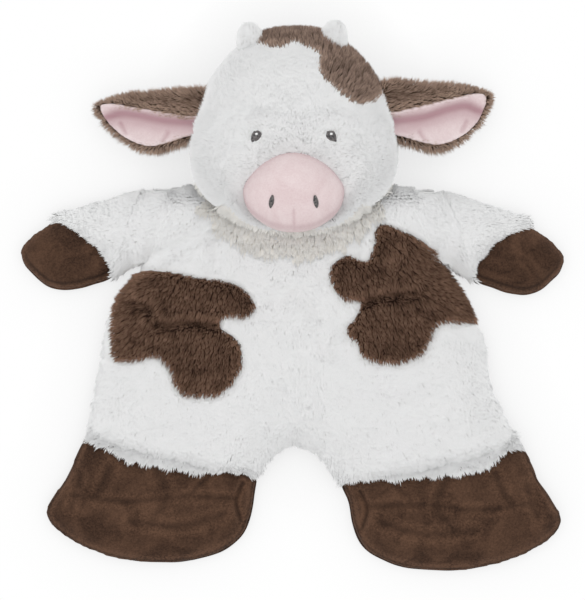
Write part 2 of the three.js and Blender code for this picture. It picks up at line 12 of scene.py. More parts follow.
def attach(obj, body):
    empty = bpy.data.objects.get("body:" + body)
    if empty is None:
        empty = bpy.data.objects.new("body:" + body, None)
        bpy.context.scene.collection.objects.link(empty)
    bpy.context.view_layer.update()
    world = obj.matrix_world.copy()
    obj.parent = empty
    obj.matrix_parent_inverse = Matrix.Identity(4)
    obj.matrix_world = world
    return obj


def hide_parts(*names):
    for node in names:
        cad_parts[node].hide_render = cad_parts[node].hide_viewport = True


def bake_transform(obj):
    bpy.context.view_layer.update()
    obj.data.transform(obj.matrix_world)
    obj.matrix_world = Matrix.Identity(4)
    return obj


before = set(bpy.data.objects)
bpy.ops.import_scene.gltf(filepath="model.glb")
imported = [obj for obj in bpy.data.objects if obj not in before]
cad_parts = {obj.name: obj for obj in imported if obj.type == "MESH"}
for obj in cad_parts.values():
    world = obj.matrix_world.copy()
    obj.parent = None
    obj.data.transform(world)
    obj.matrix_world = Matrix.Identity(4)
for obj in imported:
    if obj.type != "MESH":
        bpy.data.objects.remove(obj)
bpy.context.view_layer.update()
mm = 0.001
padShift = 4.764  # plan points count y from a line this far under the origin
floorGap = 1.6  # the cloth rests on its flattened pile
sides = ((-1, "left"), (1, "right"))


# Trees of nodes, for shaders and for geometry

class Wire:  # one output socket; its operators add Math nodes
    def __init__(self, tree, socket):
        self.tree, self.socket = tree, socket

    def maths(self, operation, *values, clamp=False):
        settings = {"operation": operation, "use_clamp": clamp}
        return self.tree.add("ShaderNodeMath", dict(enumerate(values)), **settings)[0]

    def __add__(self, other):
        return self.maths("ADD", self, other)

    def __sub__(self, other):
        return self.maths("SUBTRACT", self, other)

    def __rsub__(self, other):
        return self.maths("SUBTRACT", other, self)

    def __mul__(self, other):
        return self.maths("MULTIPLY", self, other)

    def __truediv__(self, other):
        return self.maths("DIVIDE", self, other)

    __radd__ = __add__
    __rmul__ = __mul__

    def least(self, other):
        return self.maths("MINIMUM", self, other)

    def most(self, other):
        return self.maths("MAXIMUM", self, other)

    def between(self, low, high):
        return self.maths("MULTIPLY", self - low, 1 / (high - low), clamp=True)


class Tree:
    def __init__(self, owner):
        self.nodes, self.links = owner.nodes, owner.links

    def add(self, kind, values=None, **settings):
        node = self.nodes.new(kind)
        for name, value in settings.items():
            setattr(node, name, value)
        self.feed(node, values or {})
        return Outputs(self, node)

    def feed(self, node, values):
        for key, value in values.items():
            if isinstance(value, Wire):
                self.links.new(value.socket, node.inputs[key])
            else:
                node.inputs[key].default_value = value

    def noise(self, place, scale, detail, **more):
        return self.add("ShaderNodeTexNoise", {"Vector": place, "Scale": scale, "Detail": detail, **more})

    def mix(self, share, low, high):
        return self.add("ShaderNodeMix", {0: share, 6: low, 7: high}, data_type="RGBA")[2]

    def bump(self, height, distance, strength):
        values = {"Height": height, "Distance": distance * mm, "Strength": strength}
        return self.add("ShaderNodeBump", values)["Normal"]


class Outputs:
    def __init__(self, tree, node):
        self.tree, self.node = tree, node

    def __getitem__(self, key):
        return Wire(self.tree, self.node.outputs[key])


def newMaterial(name, values):
    material = bpy.data.materials.new(name)
    material.use_nodes = True
    tree = Tree(material.node_tree)
    shader = tree.nodes["Principled BSDF"]
    tree.feed(shader, values)
    return material, tree, shader


def newTree(name, result, sockets):
    group = bpy.data.node_groups.new(name, "GeometryNodeTree")
    for title, kind in sockets.items():
        group.interface.new_socket(name=title, in_out="INPUT", socket_type="NodeSocket" + kind)
    group.interface.new_socket(name=result, in_out="OUTPUT", socket_type="NodeSocketGeometry")
    tree = Tree(group)
    return group, tree, tree.add("NodeGroupInput")


def endTree(tree, shape, finish):
    soft = tree.add("GeometryNodeSetShadeSmooth", {"Geometry": shape})[0]
    dyed = tree.add("GeometryNodeSetMaterial", {"Geometry": soft, "Material": finish})[0]
    tree.add("NodeGroupOutput", {0: dyed})


def fromTree(thing, group, values):  # the plain mesh that Geometry Nodes make of a thing
    maker = thing.modifiers.new(group.name, "NODES")
    maker.node_group = group
    for socket in group.interface.items_tree:
        if socket.name in values and socket.in_out == "INPUT":
            maker[socket.identifier] = values[socket.name]
    mesh = bpy.data.meshes.new_from_object(thing.evaluated_get(bpy.context.evaluated_depsgraph_get()))
    thing.modifiers.remove(maker)
    return mesh


def linked(name, data):
    thing = bpy.data.objects.new(name, data)
    bpy.context.scene.collection.objects.link(thing)
    return thing


def joined(piece, body, slot, *nodes, bend=None, fill=None):
    # The piece rides a body, or with a bend given keeps its place with its transform baked in, and hides the
    # CAD nodes it stands for
    if bend:
        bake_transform(piece)
    else:
        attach(piece, body)
    if nodes:
        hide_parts(*nodes)
    return piece


# Stage, light and camera

stage = {
    "cameraHeight": 2200,
    "viewLong": 525,  # the image's long side at the floor
    "viewY": 1.7,
    "clipEnd": 50000,
    "floorSize": 6000,
    "floorGrey": 0.85,
    "shadowReach": 60,
    "shadowDepth": 0.3,
    "worldStrength": 0.92,
    "keyPower": 7.7,
    "keySize": 1500,
    "keyPlace": (-300, 250, 2250),
}


# White, with a soft shadow round what lies on it. The camera looks through the floor, because limbs can hang
# below it where the pad overhangs a lap; everything else meets it as a plain pale surface.
def floorFinish():
    colour = (*[stage["floorGrey"]] * 3, 1)
    material, tree, shader = newMaterial("paleFloor", {"Base Color": colour, "Roughness": 1})
    near = tree.add("ShaderNodeAmbientOcclusion", {"Distance": stage["shadowReach"] * mm}, samples=8)
    light = 1 - (1 - near["AO"]) * stage["shadowDepth"]
    grey = tree.add("ShaderNodeCombineColor", {"Red": light, "Green": light, "Blue": light})
    clear = tree.add("ShaderNodeBsdfTransparent", {"Color": grey["Color"]})
    ray = tree.add("ShaderNodeLightPath")
    through = ray["Is Camera Ray"].most(ray["Is Shadow Ray"])
    mixed = tree.add("ShaderNodeMixShader", {0: through, 1: Wire(tree, shader.outputs[0]), 2: clear["BSDF"]})
    tree.feed(tree.nodes["Material Output"], {"Surface": mixed["Shader"]})
    return material


def makeStage():
    scene = bpy.context.scene
    scene.view_settings.view_transform = "Standard"
    camera = bpy.data.cameras.new("camera")
    camera.lens = camera.sensor_width * stage["cameraHeight"] / stage["viewLong"]
    camera.clip_end = stage["clipEnd"] * mm
    scene.camera = linked("camera", camera)
    scene.camera.location = Vector((0, stage["viewY"], stage["cameraHeight"])) * mm

    light = bpy.data.lights.new("key", "AREA")
    light.energy, light.size = stage["keyPower"], stage["keySize"] * mm
    key = linked("key", light)
    key.location = Vector(stage["keyPlace"]) * mm
    key.rotation_euler = (-Vector(stage["keyPlace"])).to_track_quat("-Z", "Y").to_euler()

    scene.world = bpy.data.worlds.new("studio")
    scene.world.use_nodes = True
    tree = Tree(scene.world.node_tree)
    ray = tree.add("ShaderNodeLightPath")
    seen = ray["Is Camera Ray"].most(ray["Is Glossy Ray"]).most(ray["Is Transmission Ray"])
    strength = stage["worldStrength"] + seen * (1 - stage["worldStrength"])
    tree.feed(tree.nodes["Background"], {"Color": (1, 1, 1, 1), "Strength": strength})

    bpy.ops.mesh.primitive_plane_add(size=stage["floorSize"] * mm)
    floor = bpy.context.object
    floor.name = "floor"
    floor.data.materials.append(floorFinish())


makeStage()
print("stage is set")


# Outlines in plan

def smoothRun(points, closed=False, steps=10):  # centripetal Catmull-Rom through the points
    p = np.array(points, float)
    ends = (p[-1:], p[:2]) if closed else (2 * p[:1] - p[1:2], 2 * p[-1:] - p[-2:-1])
    p = np.concatenate([ends[0], p, ends[1]])
    line = []
    for a, b, c, d in zip(p[:-3], p[1:-2], p[2:-1], p[3:]):
        t = np.cumsum([0, *(np.linalg.norm(v) ** 0.5 for v in (b - a, c - b, d - c))])
        at = np.linspace(t[1], t[2], steps, endpoint=False)[:, None]
        ab = ((t[1] - at) * a + (at - t[0]) * b) / (t[1] - t[0])
        bc = ((t[2] - at) * b + (at - t[1]) * c) / (t[2] - t[1])
        cd = ((t[3] - at) * c + (at - t[2]) * d) / (t[3] - t[2])
        abc = ((t[2] - at) * ab + (at - t[0]) * bc) / (t[2] - t[0])
        bcd = ((t[3] - at) * bc + (at - t[1]) * cd) / (t[3] - t[1])
        line.append(((t[2] - at) * abc + (at - t[1]) * bcd) / (t[2] - t[1]))
    return np.concatenate(line if closed else [*line, p[-2:-1]])


def loopOf(points, steps=6):
    return smoothRun(points, True, steps)


def looped(line):
    return np.concatenate([line, line[:1]])


def halves(shape, wide, long, centre=(0, 0), steps=8):  # a closed outline from its right half, top to bottom
    whole = [*shape, *((-x, y) for x, y in shape[-2:0:-1])]
    return loopOf([(centre[0] + wide * x, centre[1] + long * y) for x, y in whole], steps)


def evenly(line, step):  # the same open line in equal steps of about that length
    lengths = np.concatenate([[0], np.cumsum(np.linalg.norm(np.diff(line, axis=0), axis=1))])
    at = np.linspace(0, lengths[-1], max(2, round(lengths[-1] / step) + 1))
    return np.stack([np.interp(at, lengths, line[:, k]) for k in range(line.shape[1])], axis=1)


def nearestOn(points, line):  # for each point, its distance in plan to a line and the nearest spot there
    best, spot = np.full(len(points), np.inf), np.zeros((len(points), 2))
    for start, end in zip(line[:-1, :2], line[1:, :2]):
        way = end - start
        share = np.clip((points[:, :2] - start) @ way / max(way @ way, 1e-12), 0, 1)
        at = start + share[:, None] * way
        gap = np.linalg.norm(points[:, :2] - at, axis=1)
        near = gap < best
        best[near], spot[near] = gap[near], at[near]
    return best, spot


def gapTo(points, *lines):
    return np.min([nearestOn(points, line)[0] for line in lines], axis=0)


def nearTo(points, line, width, off=0):  # 1 along a line, or that far off it, and less beside it
    return np.exp(-(((gapTo(points, line) - off) / width) ** 2))


def crowned(gap, reach, power):  # 0 at an edge to 1 at reach from it
    return 1 - (1 - np.clip(gap / reach, 0, 1)) ** power


def within(points, loop):
    x, y = points[:, 0], points[:, 1]
    found = np.zeros(len(points), bool)
    for (ax, ay), (bx, by) in zip(loop[:, :2], np.roll(loop[:, :2], -1, axis=0)):
        crosses = (ay > y) != (by > y)
        found ^= crosses & (x < (bx - ax) * (y - ay) / np.where(by == ay, 1e-9, by - ay) + ax)
    return found


# Skins: closed meshes of even triangles

def meshed(name, points, faces, edges=()):  # millimetres in, a linked object in metres out
    mesh = bpy.data.meshes.new(name)
    mesh.from_pydata((np.asarray(points) + (0, padShift, 0)) * mm, edges, [tuple(map(int, f)) for f in faces])
    mesh.update()
    return linked(name, mesh)


def vectorsOf(layer, key="vector"):
    found = np.empty(len(layer) * 3, np.float32)
    layer.foreach_get(key, found)
    return found.reshape(-1, 3).astype(float)


def placesOf(skin):
    return vectorsOf(skin.data.vertices, "co") / mm - (0, padShift, 0)


def normalsOf(skin):
    return vectorsOf(skin.data.vertex_normals)


def moveTo(skin, places):
    at = ((places + (0, padShift, 0)) * mm).astype(np.float32)
    skin.data.vertices.foreach_set("co", at.ravel())
    skin.data.update()


def moved(skin, place):
    moveTo(skin, np.array([place @ Vector(p) for p in placesOf(skin)]))


def flatForm(runs, spacing):  # runs of a loop -> plan points, rim count and triangles, all of even size
    rim = np.concatenate([evenly(np.array(run, float), spacing)[:-1] for run in runs])
    low, high = rim.min(0), rim.max(0)
    rows = enumerate(np.arange(low[1], high[1], spacing * 0.87))
    across = np.arange(low[0], high[0], spacing)
    grid = np.array([(x + spacing / 2 * (i % 2), y) for i, y in rows for x in across])
    grid = grid[within(grid, rim)]
    grid = grid[gapTo(grid, looped(rim)) > 0.55 * spacing]
    plan = [Vector(p) for p in np.concatenate([rim, grid])]
    points, _, faces, *_ = geometry.delaunay_2d_cdt(plan, [], [list(range(len(rim)))], 1, 1e-5)
    points = [tuple(p) for p in points]
    whole = []
    for face in faces:
        if max(face) < len(rim):  # a corner between rim points gets a point of its own
            whole += [(face[k], face[(k + 1) % 3], len(points)) for k in range(3)]
            points.append(tuple(np.mean([points[k] for k in face], axis=0)))
        else:
            whole.append(tuple(face))
    return np.array(points), len(rim), np.array(whole)


def closedSkin(name, form, rimHeight, top, bottom):
    plan, rimCount, faces = form
    under = np.arange(len(plan))
    under[rimCount:] += len(plan) - rimCount
    upper, lower = np.column_stack([plan, top]), np.column_stack([plan, bottom])
    upper[:rimCount, 2] = rimHeight
    points = np.concatenate([upper, lower[rimCount:]])
    return meshed(name, points, np.concatenate([faces, under[faces][:, ::-1]]))


def polarForm(name, outline, form, centre=(0, 0, 0), place=None):
    # Rings that shrink from a closed outline to a pole above and a pole below
    rings, count = form["rings"]
    rise, drop = form["rise"], form["drop"]
    length = np.linalg.norm(np.diff(looped(outline), axis=0), axis=1).sum()
    rim = evenly(looped(outline), length / count)[:-1]
    points = [(*centre[:2], centre[2] + rise)]
    for k in range(1, rings):
        turn = math.pi * k / rings
        share = math.sin(turn) ** (2 / form["swell"])
        height = math.cos(turn) * (rise if turn < math.pi / 2 else drop)
        points += [(centre[0] + x * share, centre[1] + y * share, centre[2] + height) for x, y in rim]
    points.append((*centre[:2], centre[2] - drop))
    count, last, faces = len(rim), len(points) - 1, []
    for i in range(count):
        j = (i + 1) % count
        faces += [(0, 1 + i, 1 + j), (last, last - count + j, last - count + i)]
        for ring in range(1, last - count, count):
            a, b, c, d = ring + i, ring + j, ring + count + j, ring + count + i
            faces += [(a, d, c), (a, c, b)]
    if np.cross(rim[0], rim[1]) <= 0:
        faces = [face[::-1] for face in faces]
    if place is not None:
        points = [place @ Vector(p) for p in points]
    return meshed(name, points, faces)


def smoothed(skin, rounds, share=0.5):
    at = placesOf(skin)
    edges = np.array([e.vertices[:] for e in skin.data.edges])
    count = np.bincount(edges.ravel(), minlength=len(at))[:, None]
    for _ in range(rounds):
        total = np.zeros_like(at)
        np.add.at(total, edges[:, 0], at[edges[:, 1]])
        np.add.at(total, edges[:, 1], at[edges[:, 0]])
        at += (total / count - at) * share
    moveTo(skin, at)


stuffing = {"quality": 5, "mass": 0.2, "bending": 0.4, "frames": 20}


def stuffed(skin, pressure, cap, spare=0.0):
    # Cloth with some spare width, filled and left to settle; no point moves further than cap
    rest = placesOf(skin)
    cloth = skin.modifiers.new("stuffing", "CLOTH")
    settings = cloth.settings
    settings.quality, settings.mass = stuffing["quality"], stuffing["mass"]
    settings.bending_stiffness = stuffing["bending"]
    settings.use_pressure, settings.uniform_pressure_force = True, pressure
    settings.shrink_min = -spare
    settings.effector_weights.gravity = 0
    cloth.point_cache.frame_start, cloth.point_cache.frame_end = 1, stuffing["frames"]
    for number in range(1, stuffing["frames"] + 1):
        bpy.context.scene.frame_set(number)
    move = placesOf(skin.evaluated_get(bpy.context.evaluated_depsgraph_get())) - rest
    skin.modifiers.remove(cloth)
    bpy.context.scene.frame_set(1)
    far = np.linalg.norm(move, axis=1, keepdims=True)
    rest = rest + move * np.minimum(1, cap / np.maximum(far, 1e-9))
    rest[:, 2] = np.maximum(rest[:, 2], floorGap)
    moveTo(skin, rest)


def pressIn(skin, strokes):
    # Each stroke is a line of plan points with a depth and a half width: cloth sinks along it and swells
    # beside it
    at = placesOf(skin)
    drop = np.zeros(len(at))
    for points, depth, width in strokes:
        line = smoothRun(points)
        near = gapTo(at, line) / width
        ends = np.minimum(*(np.linalg.norm(at[:, :2] - end, axis=1) for end in (line[0], line[-1])))
        fade = np.clip(ends / (1.5 * width), 0, 1) ** 0.7 * (near < 4)
        drop += depth * fade * (np.exp(-(near**2)) - 0.35 * np.exp(-((near - 1.9) ** 2) / 0.8))
    at[:, 2] -= drop * np.clip(normalsOf(skin)[:, 2], 0, 1)
    moveTo(skin, at)


def finer(skin):  # every triangle in four, then eased
    shape = bmesh.new()
    shape.from_mesh(skin.data)
    bmesh.ops.subdivide_edges(shape, edges=shape.edges, cuts=1, use_grid_fill=True)
    bmesh.ops.triangulate(shape, faces=shape.faces)
    shape.to_mesh(skin.data)
    shape.free()
    smoothed(skin, 2)


def rounded(skin):
    skin.data.polygons.foreach_set("use_smooth", [True] * len(skin.data.polygons))
    return skin


def grounded(skin):
    at = placesOf(skin)
    at[:, 2] = np.maximum(at[:, 2], floorGap)
    moveTo(skin, at)


def ripples(at, size, shift=0):
    return np.array([noise.noise(Vector(p) / size + Vector((shift, 0, 0))) for p in at])


def rumpled(skin, depth, size, seed):  # soft unevenness, up and down along the normals
    at = placesOf(skin)
    moveTo(skin, at + normalsOf(skin) * (ripples(at, size, seed * 7.3) * depth)[:, None])


def onTop(skin, spots):  # heights of a skin over spots in plan
    tree = BVHTree.FromPolygons(placesOf(skin).tolist(), [tuple(f.vertices) for f in skin.data.polygons])
    hits = [tree.ray_cast(Vector((x, y, 400)), Vector((0, 0, -1)))[0] for x, y in spots]
    return np.array([hit.z if hit else 0 for hit in hits])


def marked(skin, name, values, kind="FLOAT"):
    layer = skin.data.attributes.get(name) or skin.data.attributes.new(name, kind, "POINT")
    count = len(layer.data)
    values = np.broadcast_to(values, count if kind == "FLOAT" else (count, 3))
    layer.data.foreach_set("value" if kind == "FLOAT" else "vector", np.asarray(values, np.float32).ravel())


def twoTone(skin, brown):
    for finish in ("whiteBacking", "brownBacking"):
        skin.data.materials.append(finishes[finish])
    for face in skin.data.polygons:
        face.material_index = int(sum(brown[k] for k in face.vertices) > 1)


# Fur: tapered locks that Geometry Nodes grow on a skin. The skin's own attributes say how dense the coat is,
# how long, which way it is combed and how pale, where painted sheen, highlights and shade lie.

def furTree():
    numbers = (
        "Density", "Length", "Width", "Lift", "Wave", "Wave Size", "Stray", "Clump Size", "Clumping",
        "Floor Pile",
    )
    group, tree, given = newTree("growFur", "Fur", {
        "Skin": "Geometry", "Lock": "Object", "Finish": "Material", "Seed": "Int",
        **dict.fromkeys(numbers, "Float"),
    })

    def named(name, kind="FLOAT"):
        return tree.add("GeometryNodeInputNamedAttribute", {"Name": name}, data_type=kind)["Attribute"]

    def vector(operation, *values):
        return tree.add("ShaderNodeVectorMath", dict(enumerate(values)), operation=operation)[0]

    def scaled(value, size):
        return tree.add("ShaderNodeVectorMath", {0: value, "Scale": size}, operation="SCALE")[0]

    def axesOf(value):
        return tree.add("ShaderNodeSeparateXYZ", {0: value})

    def vectorFrom(x, y, z=0):
        return tree.add("ShaderNodeCombineXYZ", {"X": x, "Y": y, "Z": z})[0]

    def random(low, high, offset):
        values = {2: low, 3: high, "Seed": given["Seed"] + offset}
        return tree.add("FunctionNodeRandomValue", values, data_type="FLOAT")[1]

    def kept(shape, name, value, kind="FLOAT", domain="POINT"):
        values = {"Geometry": shape, "Name": name, "Value": value}
        return tree.add("GeometryNodeStoreNamedAttribute", values, data_type=kind, domain=domain)[0]

    def aligned(axis, values, **more):
        return tree.add("FunctionNodeAlignRotationToVector", values, axis=axis, **more)[0]

    spread = tree.add("GeometryNodeDistributePointsOnFaces", {
        "Mesh": given["Skin"], "Density": given["Density"] * named("cover"), "Seed": given["Seed"],
    })
    normal = spread["Normal"]
    place = tree.add("GeometryNodeInputPosition")[0]
    comb = named("comb", "FLOAT_VECTOR")
    dot = tree.add("ShaderNodeVectorMath", {0: comb, 1: normal}, operation="DOT_PRODUCT")["Value"]
    flat = vector("SUBTRACT", comb, scaled(normal, dot))
    lying = vector("ADD", flat, scaled(normal, given["Lift"] + named("raised")))
    swirl = vector("SUBTRACT", tree.noise(place, given["Wave Size"], 1.0)["Color"], (0.5, 0.5, 0.5))
    swirled = vector("ADD", lying, scaled(swirl, given["Wave"]))
    limits = {"Min": (-1, -1, -1), "Max": (1, 1, 1), "Seed": given["Seed"]}
    stray = scaled(tree.add("FunctionNodeRandomValue", limits, data_type="FLOAT_VECTOR")[0], given["Stray"])
    size = given["Length"] * named("pile")
    own = scaled(vector("NORMALIZE", vector("ADD", swirled, stray)), size)
    cells = tree.add("ShaderNodeTexVoronoi", {"Vector": place, "Scale": given["Clump Size"]})
    gathered = vector("ADD", cells["Position"], scaled(vector("NORMALIZE", swirled), size))
    meeting = vector("SUBTRACT", gathered, place)
    way = vector("ADD", own, scaled(vector("SUBTRACT", meeting, own), given["Clumping"]))
    turned = aligned("X", {"Rotation": aligned("Z", {"Vector": way}), "Vector": normal}, pivot_axis="Z")
    drift = tree.noise(place, 60.0, 2.0)[0].between(0.3, 0.7)
    tuft = axesOf(cells["Color"])["X"]
    # Tone at random per lock, clump and patch, plus the skin's pale marks, which paint sheen, highlights and
    # shade
    shade = (random(0, 1, 2) * 0.4 + tuft * 0.3 + drift * 0.2 + named("pale") * 0.5).least(1).most(0)
    lock = tree.add("GeometryNodeObjectInfo", {"Object": given["Lock"]}, transform_space="ORIGINAL")
    grown = tree.add("GeometryNodeInstanceOnPoints", {
        "Points": kept(kept(spread["Points"], "shade", shade), "away", normal, "FLOAT_VECTOR"),
        "Instance": lock["Geometry"], "Rotation": turned,
        "Scale": vectorFrom(given["Width"], given["Width"], size * random(0.75, 1.15, 1)),
    })[0]
    real = tree.add("GeometryNodeRealizeInstances", {"Geometry": grown})[0]
    drawn = axesOf(named("OFBake", "FLOAT_VECTOR"))
    spot = vectorFrom(drawn["X"] + named("shade") * 0.95, drawn["Y"])
    mapped = kept(real, "OFBake", spot, "FLOAT2", "CORNER")
    # Pile that would go through the floor lies squeezed over it
    axes, squeeze = axesOf(place), given["Floor Pile"]
    below = (axes["Z"] - squeeze).least(0) / squeeze
    height = axes["Z"].most(squeeze) + (below.maths("EXPONENT", below) - 1) * squeeze
    level = vectorFrom(axes["X"], axes["Y"], height)
    lain = tree.add("GeometryNodeSetPosition", {"Geometry": mapped, "Position": level})[0]
    endTree(tree, lain, given["Finish"])
    return group


def makeLock(name, height, bow, root):
    # Three corners round a ring, a tip above it and perhaps a root below it; 1 high and 1 wide
    points, spots = ([(0, 0, 0)], [(0.01, 0)]) if root else ([], [])
    for k in range(3):
        turn = 2 * math.pi * k / 3
        points.append((bow + 0.5 * math.cos(turn), 0.5 * math.sin(turn), height))
        spots.append((0.005 + 0.02 * k, max(0, height) + 0.01 * k))
    points.append((0, 0, 1))
    spots.append((0.025, 1))
    last = len(points) - 1
    faces = [(last, last - 3 + k, last - 3 + (k + 1) % 3) for k in range(3)]
    faces += [(0, 1 + (k + 1) % 3, 1 + k) for k in range(3)] if root else [(0, 2, 1)]
    mesh = bpy.data.meshes.new(name)
    mesh.from_pydata(points, [], faces)
    drawn = mesh.uv_layers.new(name="OFBake")
    for corner, loop in enumerate(mesh.loops):
        drawn.data[corner].uv = spots[loop.vertex_index]
    return linked(name, mesh)


furKit = {
    "tree": furTree(),
    "downy": makeLock("downyLock", -0.05, 0, root=False),  # a wide root and a fine tip
    "wavy": makeLock("wavyLock", 0.42, 0.6, root=True),  # bowed, with a thin root
    "floorPile": 3,
}


def growFur(name, skin, body, coat, seed, cover, comb, pile=1, pale=0, raised=0, nodes=(), bend=None):
    standing = (1 - np.abs(normalsOf(skin)[:, 2])) * coat["edgeLift"] + raised
    for title, values in (("cover", cover), ("pile", pile), ("pale", pale), ("raised", standing)):
        marked(skin, title, values)
    marked(skin, "comb", comb, "FLOAT_VECTOR")
    mesh = fromTree(skin, furKit["tree"], {
        "Lock": furKit[coat["lock"]], "Finish": finishes[coat["finish"]], "Density": coat["density"] / mm**2,
        "Length": coat["length"] * mm, "Width": coat["width"] * mm, "Wave Size": 1 / (coat["waveSize"] * mm),
        "Clump Size": 1 / (coat["clumpSize"] * mm), "Floor Pile": furKit["floorPile"] * mm, "Seed": seed,
        **{key.capitalize(): coat[key] for key in ("lift", "wave", "stray", "clumping")},
    })
    facing = vectorsOf(mesh.vertex_normals) * (1 - coat["softness"])
    facing += vectorsOf(mesh.attributes["away"].data) * coat["softness"]
    # The tips at an outline catch light from above
    facing[:, 2] += coat["rimLight"] * (1 - np.abs(facing[:, 2]))
    facing /= np.linalg.norm(facing, axis=1, keepdims=True)
    mesh.normals_split_custom_set_from_vertices(facing.tolist())
    for spare in ("away", "shade"):
        mesh.attributes.remove(mesh.attributes[spare])
    mesh.materials.clear()
    mesh.materials.append(finishes[coat["finish"]])
    mesh.polygons.foreach_set("material_index", [0] * len(mesh.polygons))
    mesh.name = name
    print(name, "has", len(mesh.polygons), "faces")
    return joined(linked(name, mesh), body, coat["slot"], *nodes, bend=bend)


# Embroidery: Geometry Nodes give each laid thread its thickness

def threadTree():
    group, tree, given = newTree("layThreads", "Threads", {
        "Paths": "Geometry", "Thread Radius": "Float", "Sides": "Int", "Finish": "Material",
    })
    curves = tree.add("GeometryNodeMeshToCurve", {"Mesh": given["Paths"]})[0]
    circle = {"Resolution": given["Sides"], "Radius": given["Thread Radius"]}
    ring = tree.add("GeometryNodeCurvePrimitiveCircle", circle)[0]
    values = {"Curve": curves, "Profile Curve": ring, "Fill Caps": True}
    endTree(tree, tree.add("GeometryNodeCurveToMesh", values)[0], given["Finish"])
    return group


threads = {"tree": threadTree(), "radius": 0.34, "step": 0.56, "sides": 6}


def embroidered(name, skin, shape, centre, angle, height, finish):
    # Threads side by side across a closed shape, arched over the skin below them
    loop = loopOf(shape)
    cos, sin = math.cos(math.radians(angle)), math.sin(math.radians(angle))
    turned = np.stack([loop[:, 0] * cos + loop[:, 1] * sin, loop[:, 1] * cos - loop[:, 0] * sin], axis=1)
    spots, arch, edges = [], [], []
    for row in np.arange(turned[:, 1].min() + 0.15, turned[:, 1].max(), threads["step"]):
        ends = [
            ax + (row - ay) * (bx - ax) / (by - ay)
            for (ax, ay), (bx, by) in zip(turned, np.roll(turned, -1, axis=0)) if (ay > row) != (by > row)
        ]
        if len(ends) < 2 or max(ends) - min(ends) < 0.5:
            continue
        across = np.linspace(min(ends), max(ends), 7)
        edges += [(len(spots) + k, len(spots) + k + 1) for k in range(6)]
        spots += list(np.stack([across * cos - row * sin, across * sin + row * cos], axis=1) + centre)
        arch += list(height * np.sin(np.linspace(0.05, math.pi - 0.05, 7)) ** 0.45)
    piece = meshed(name, np.column_stack([spots, onTop(skin, spots) + arch]), [], edges)
    values = {"Thread Radius": threads["radius"] * mm, "Sides": threads["sides"], "Finish": finishes[finish]}
    piece.data = fromTree(piece, threads["tree"], values)
    piece.data.name = name
    return piece


# Finishes

def srgb(colour):
    return (*[c / 255 / 12.92 if c <= 10 else ((c / 255 + 0.055) / 1.055) ** 2.4 for c in colour], 1)


def furFinish(name, root, tip, pale):
    material, tree, shader = newMaterial(name, {"Roughness": 0.9, "Specular IOR Level": 0.1})
    axes = tree.add("ShaderNodeSeparateXYZ", {0: tree.add("ShaderNodeUVMap", uv_map="OFBake")["UV"]})
    tips = tree.mix(axes["X"], srgb(tip), srgb(pale))
    # Darker towards the roots: partly the pile's own tipped colour, partly painted shade deep between the
    # locks
    tree.feed(shader, {"Base Color": tree.mix(axes["Y"].between(0, 0.7), srgb(root), tips)})
    return material


def backingFinish(name, colour, dark):  # the knitted cloth that the pile grows from
    material, tree, shader = newMaterial(name, {"Roughness": 0.95, "Specular IOR Level": 0.1})
    at = tree.add("ShaderNodeTexCoord")["Object"]
    loops = tree.add("ShaderNodeTexVoronoi", {"Vector": at, "Scale": 900.0})["Distance"]
    colours = tree.mix(loops.between(0.2, 0.9), srgb(colour), srgb(dark))
    tree.feed(shader, {"Base Color": colours, "Normal": tree.bump(1 - loops, 0.2, 0.4)})
    return material


def velourFinish(name, colour, brushedAndSheen, deep, sheen):
    # Short pile that looks paler where it is brushed one way, darker where it is stroked back
    shared = {"Roughness": 0.8, "Specular IOR Level": 0.12, "Sheen Weight": sheen, "Sheen Roughness": 0.4}
    material, tree, shader = newMaterial(name, shared)
    at = tree.add("ShaderNodeTexCoord")["Object"]
    slow = tree.noise(at, 30.0, 4.0, Distortion=1.2)[0]
    tufts = tree.noise(at, 520.0, 3.0, Roughness=0.7)[0]
    pile = tree.noise(at, 1100.0, 2.0)[0]
    # Two skin attributes: one paints sheen and highlights at rims and ridges, the other paints shade in
    # seams, folds and creases
    edge = tree.add("ShaderNodeAttribute", attribute_name="edge")["Fac"]
    paintedShade = tree.add("ShaderNodeAttribute", attribute_name="paintedShade")["Fac"]
    napAndSheen = slow.between(0.36, 0.64) * 0.42 + tufts.between(0.34, 0.66) * 0.33
    napAndSheen = napAndSheen + pile.between(0.3, 0.7) * 0.25 + edge * tufts.between(0.3, 0.7) * 0.7
    tone = tree.mix(napAndSheen.least(1), srgb(colour), srgb(brushedAndSheen))
    tree.feed(shader, {
        "Base Color": tree.mix(paintedShade.between(0, 1), tone, srgb(deep)),
        "Normal": tree.bump(tufts * 0.8 + pile * 0.2, 0.5, 0.6),
    })
    return material


def threadFinish(name, colour, shaded):
    material, tree, shader = newMaterial(name, {"Roughness": 0.45, "Specular IOR Level": 0.4})
    at = tree.add("ShaderNodeTexCoord")["Object"]
    twist = tree.add("ShaderNodeTexWave", {"Vector": at, "Scale": 450.0, "Distortion": 2.0})["Fac"]
    colours = tree.mix(tree.noise(at, 800.0, 1.0)[0].between(0.35, 0.65), srgb(colour), srgb(shaded))
    tree.feed(shader, {"Base Color": colours, "Normal": tree.bump(twist, 0.05, 0.4)})
    return material


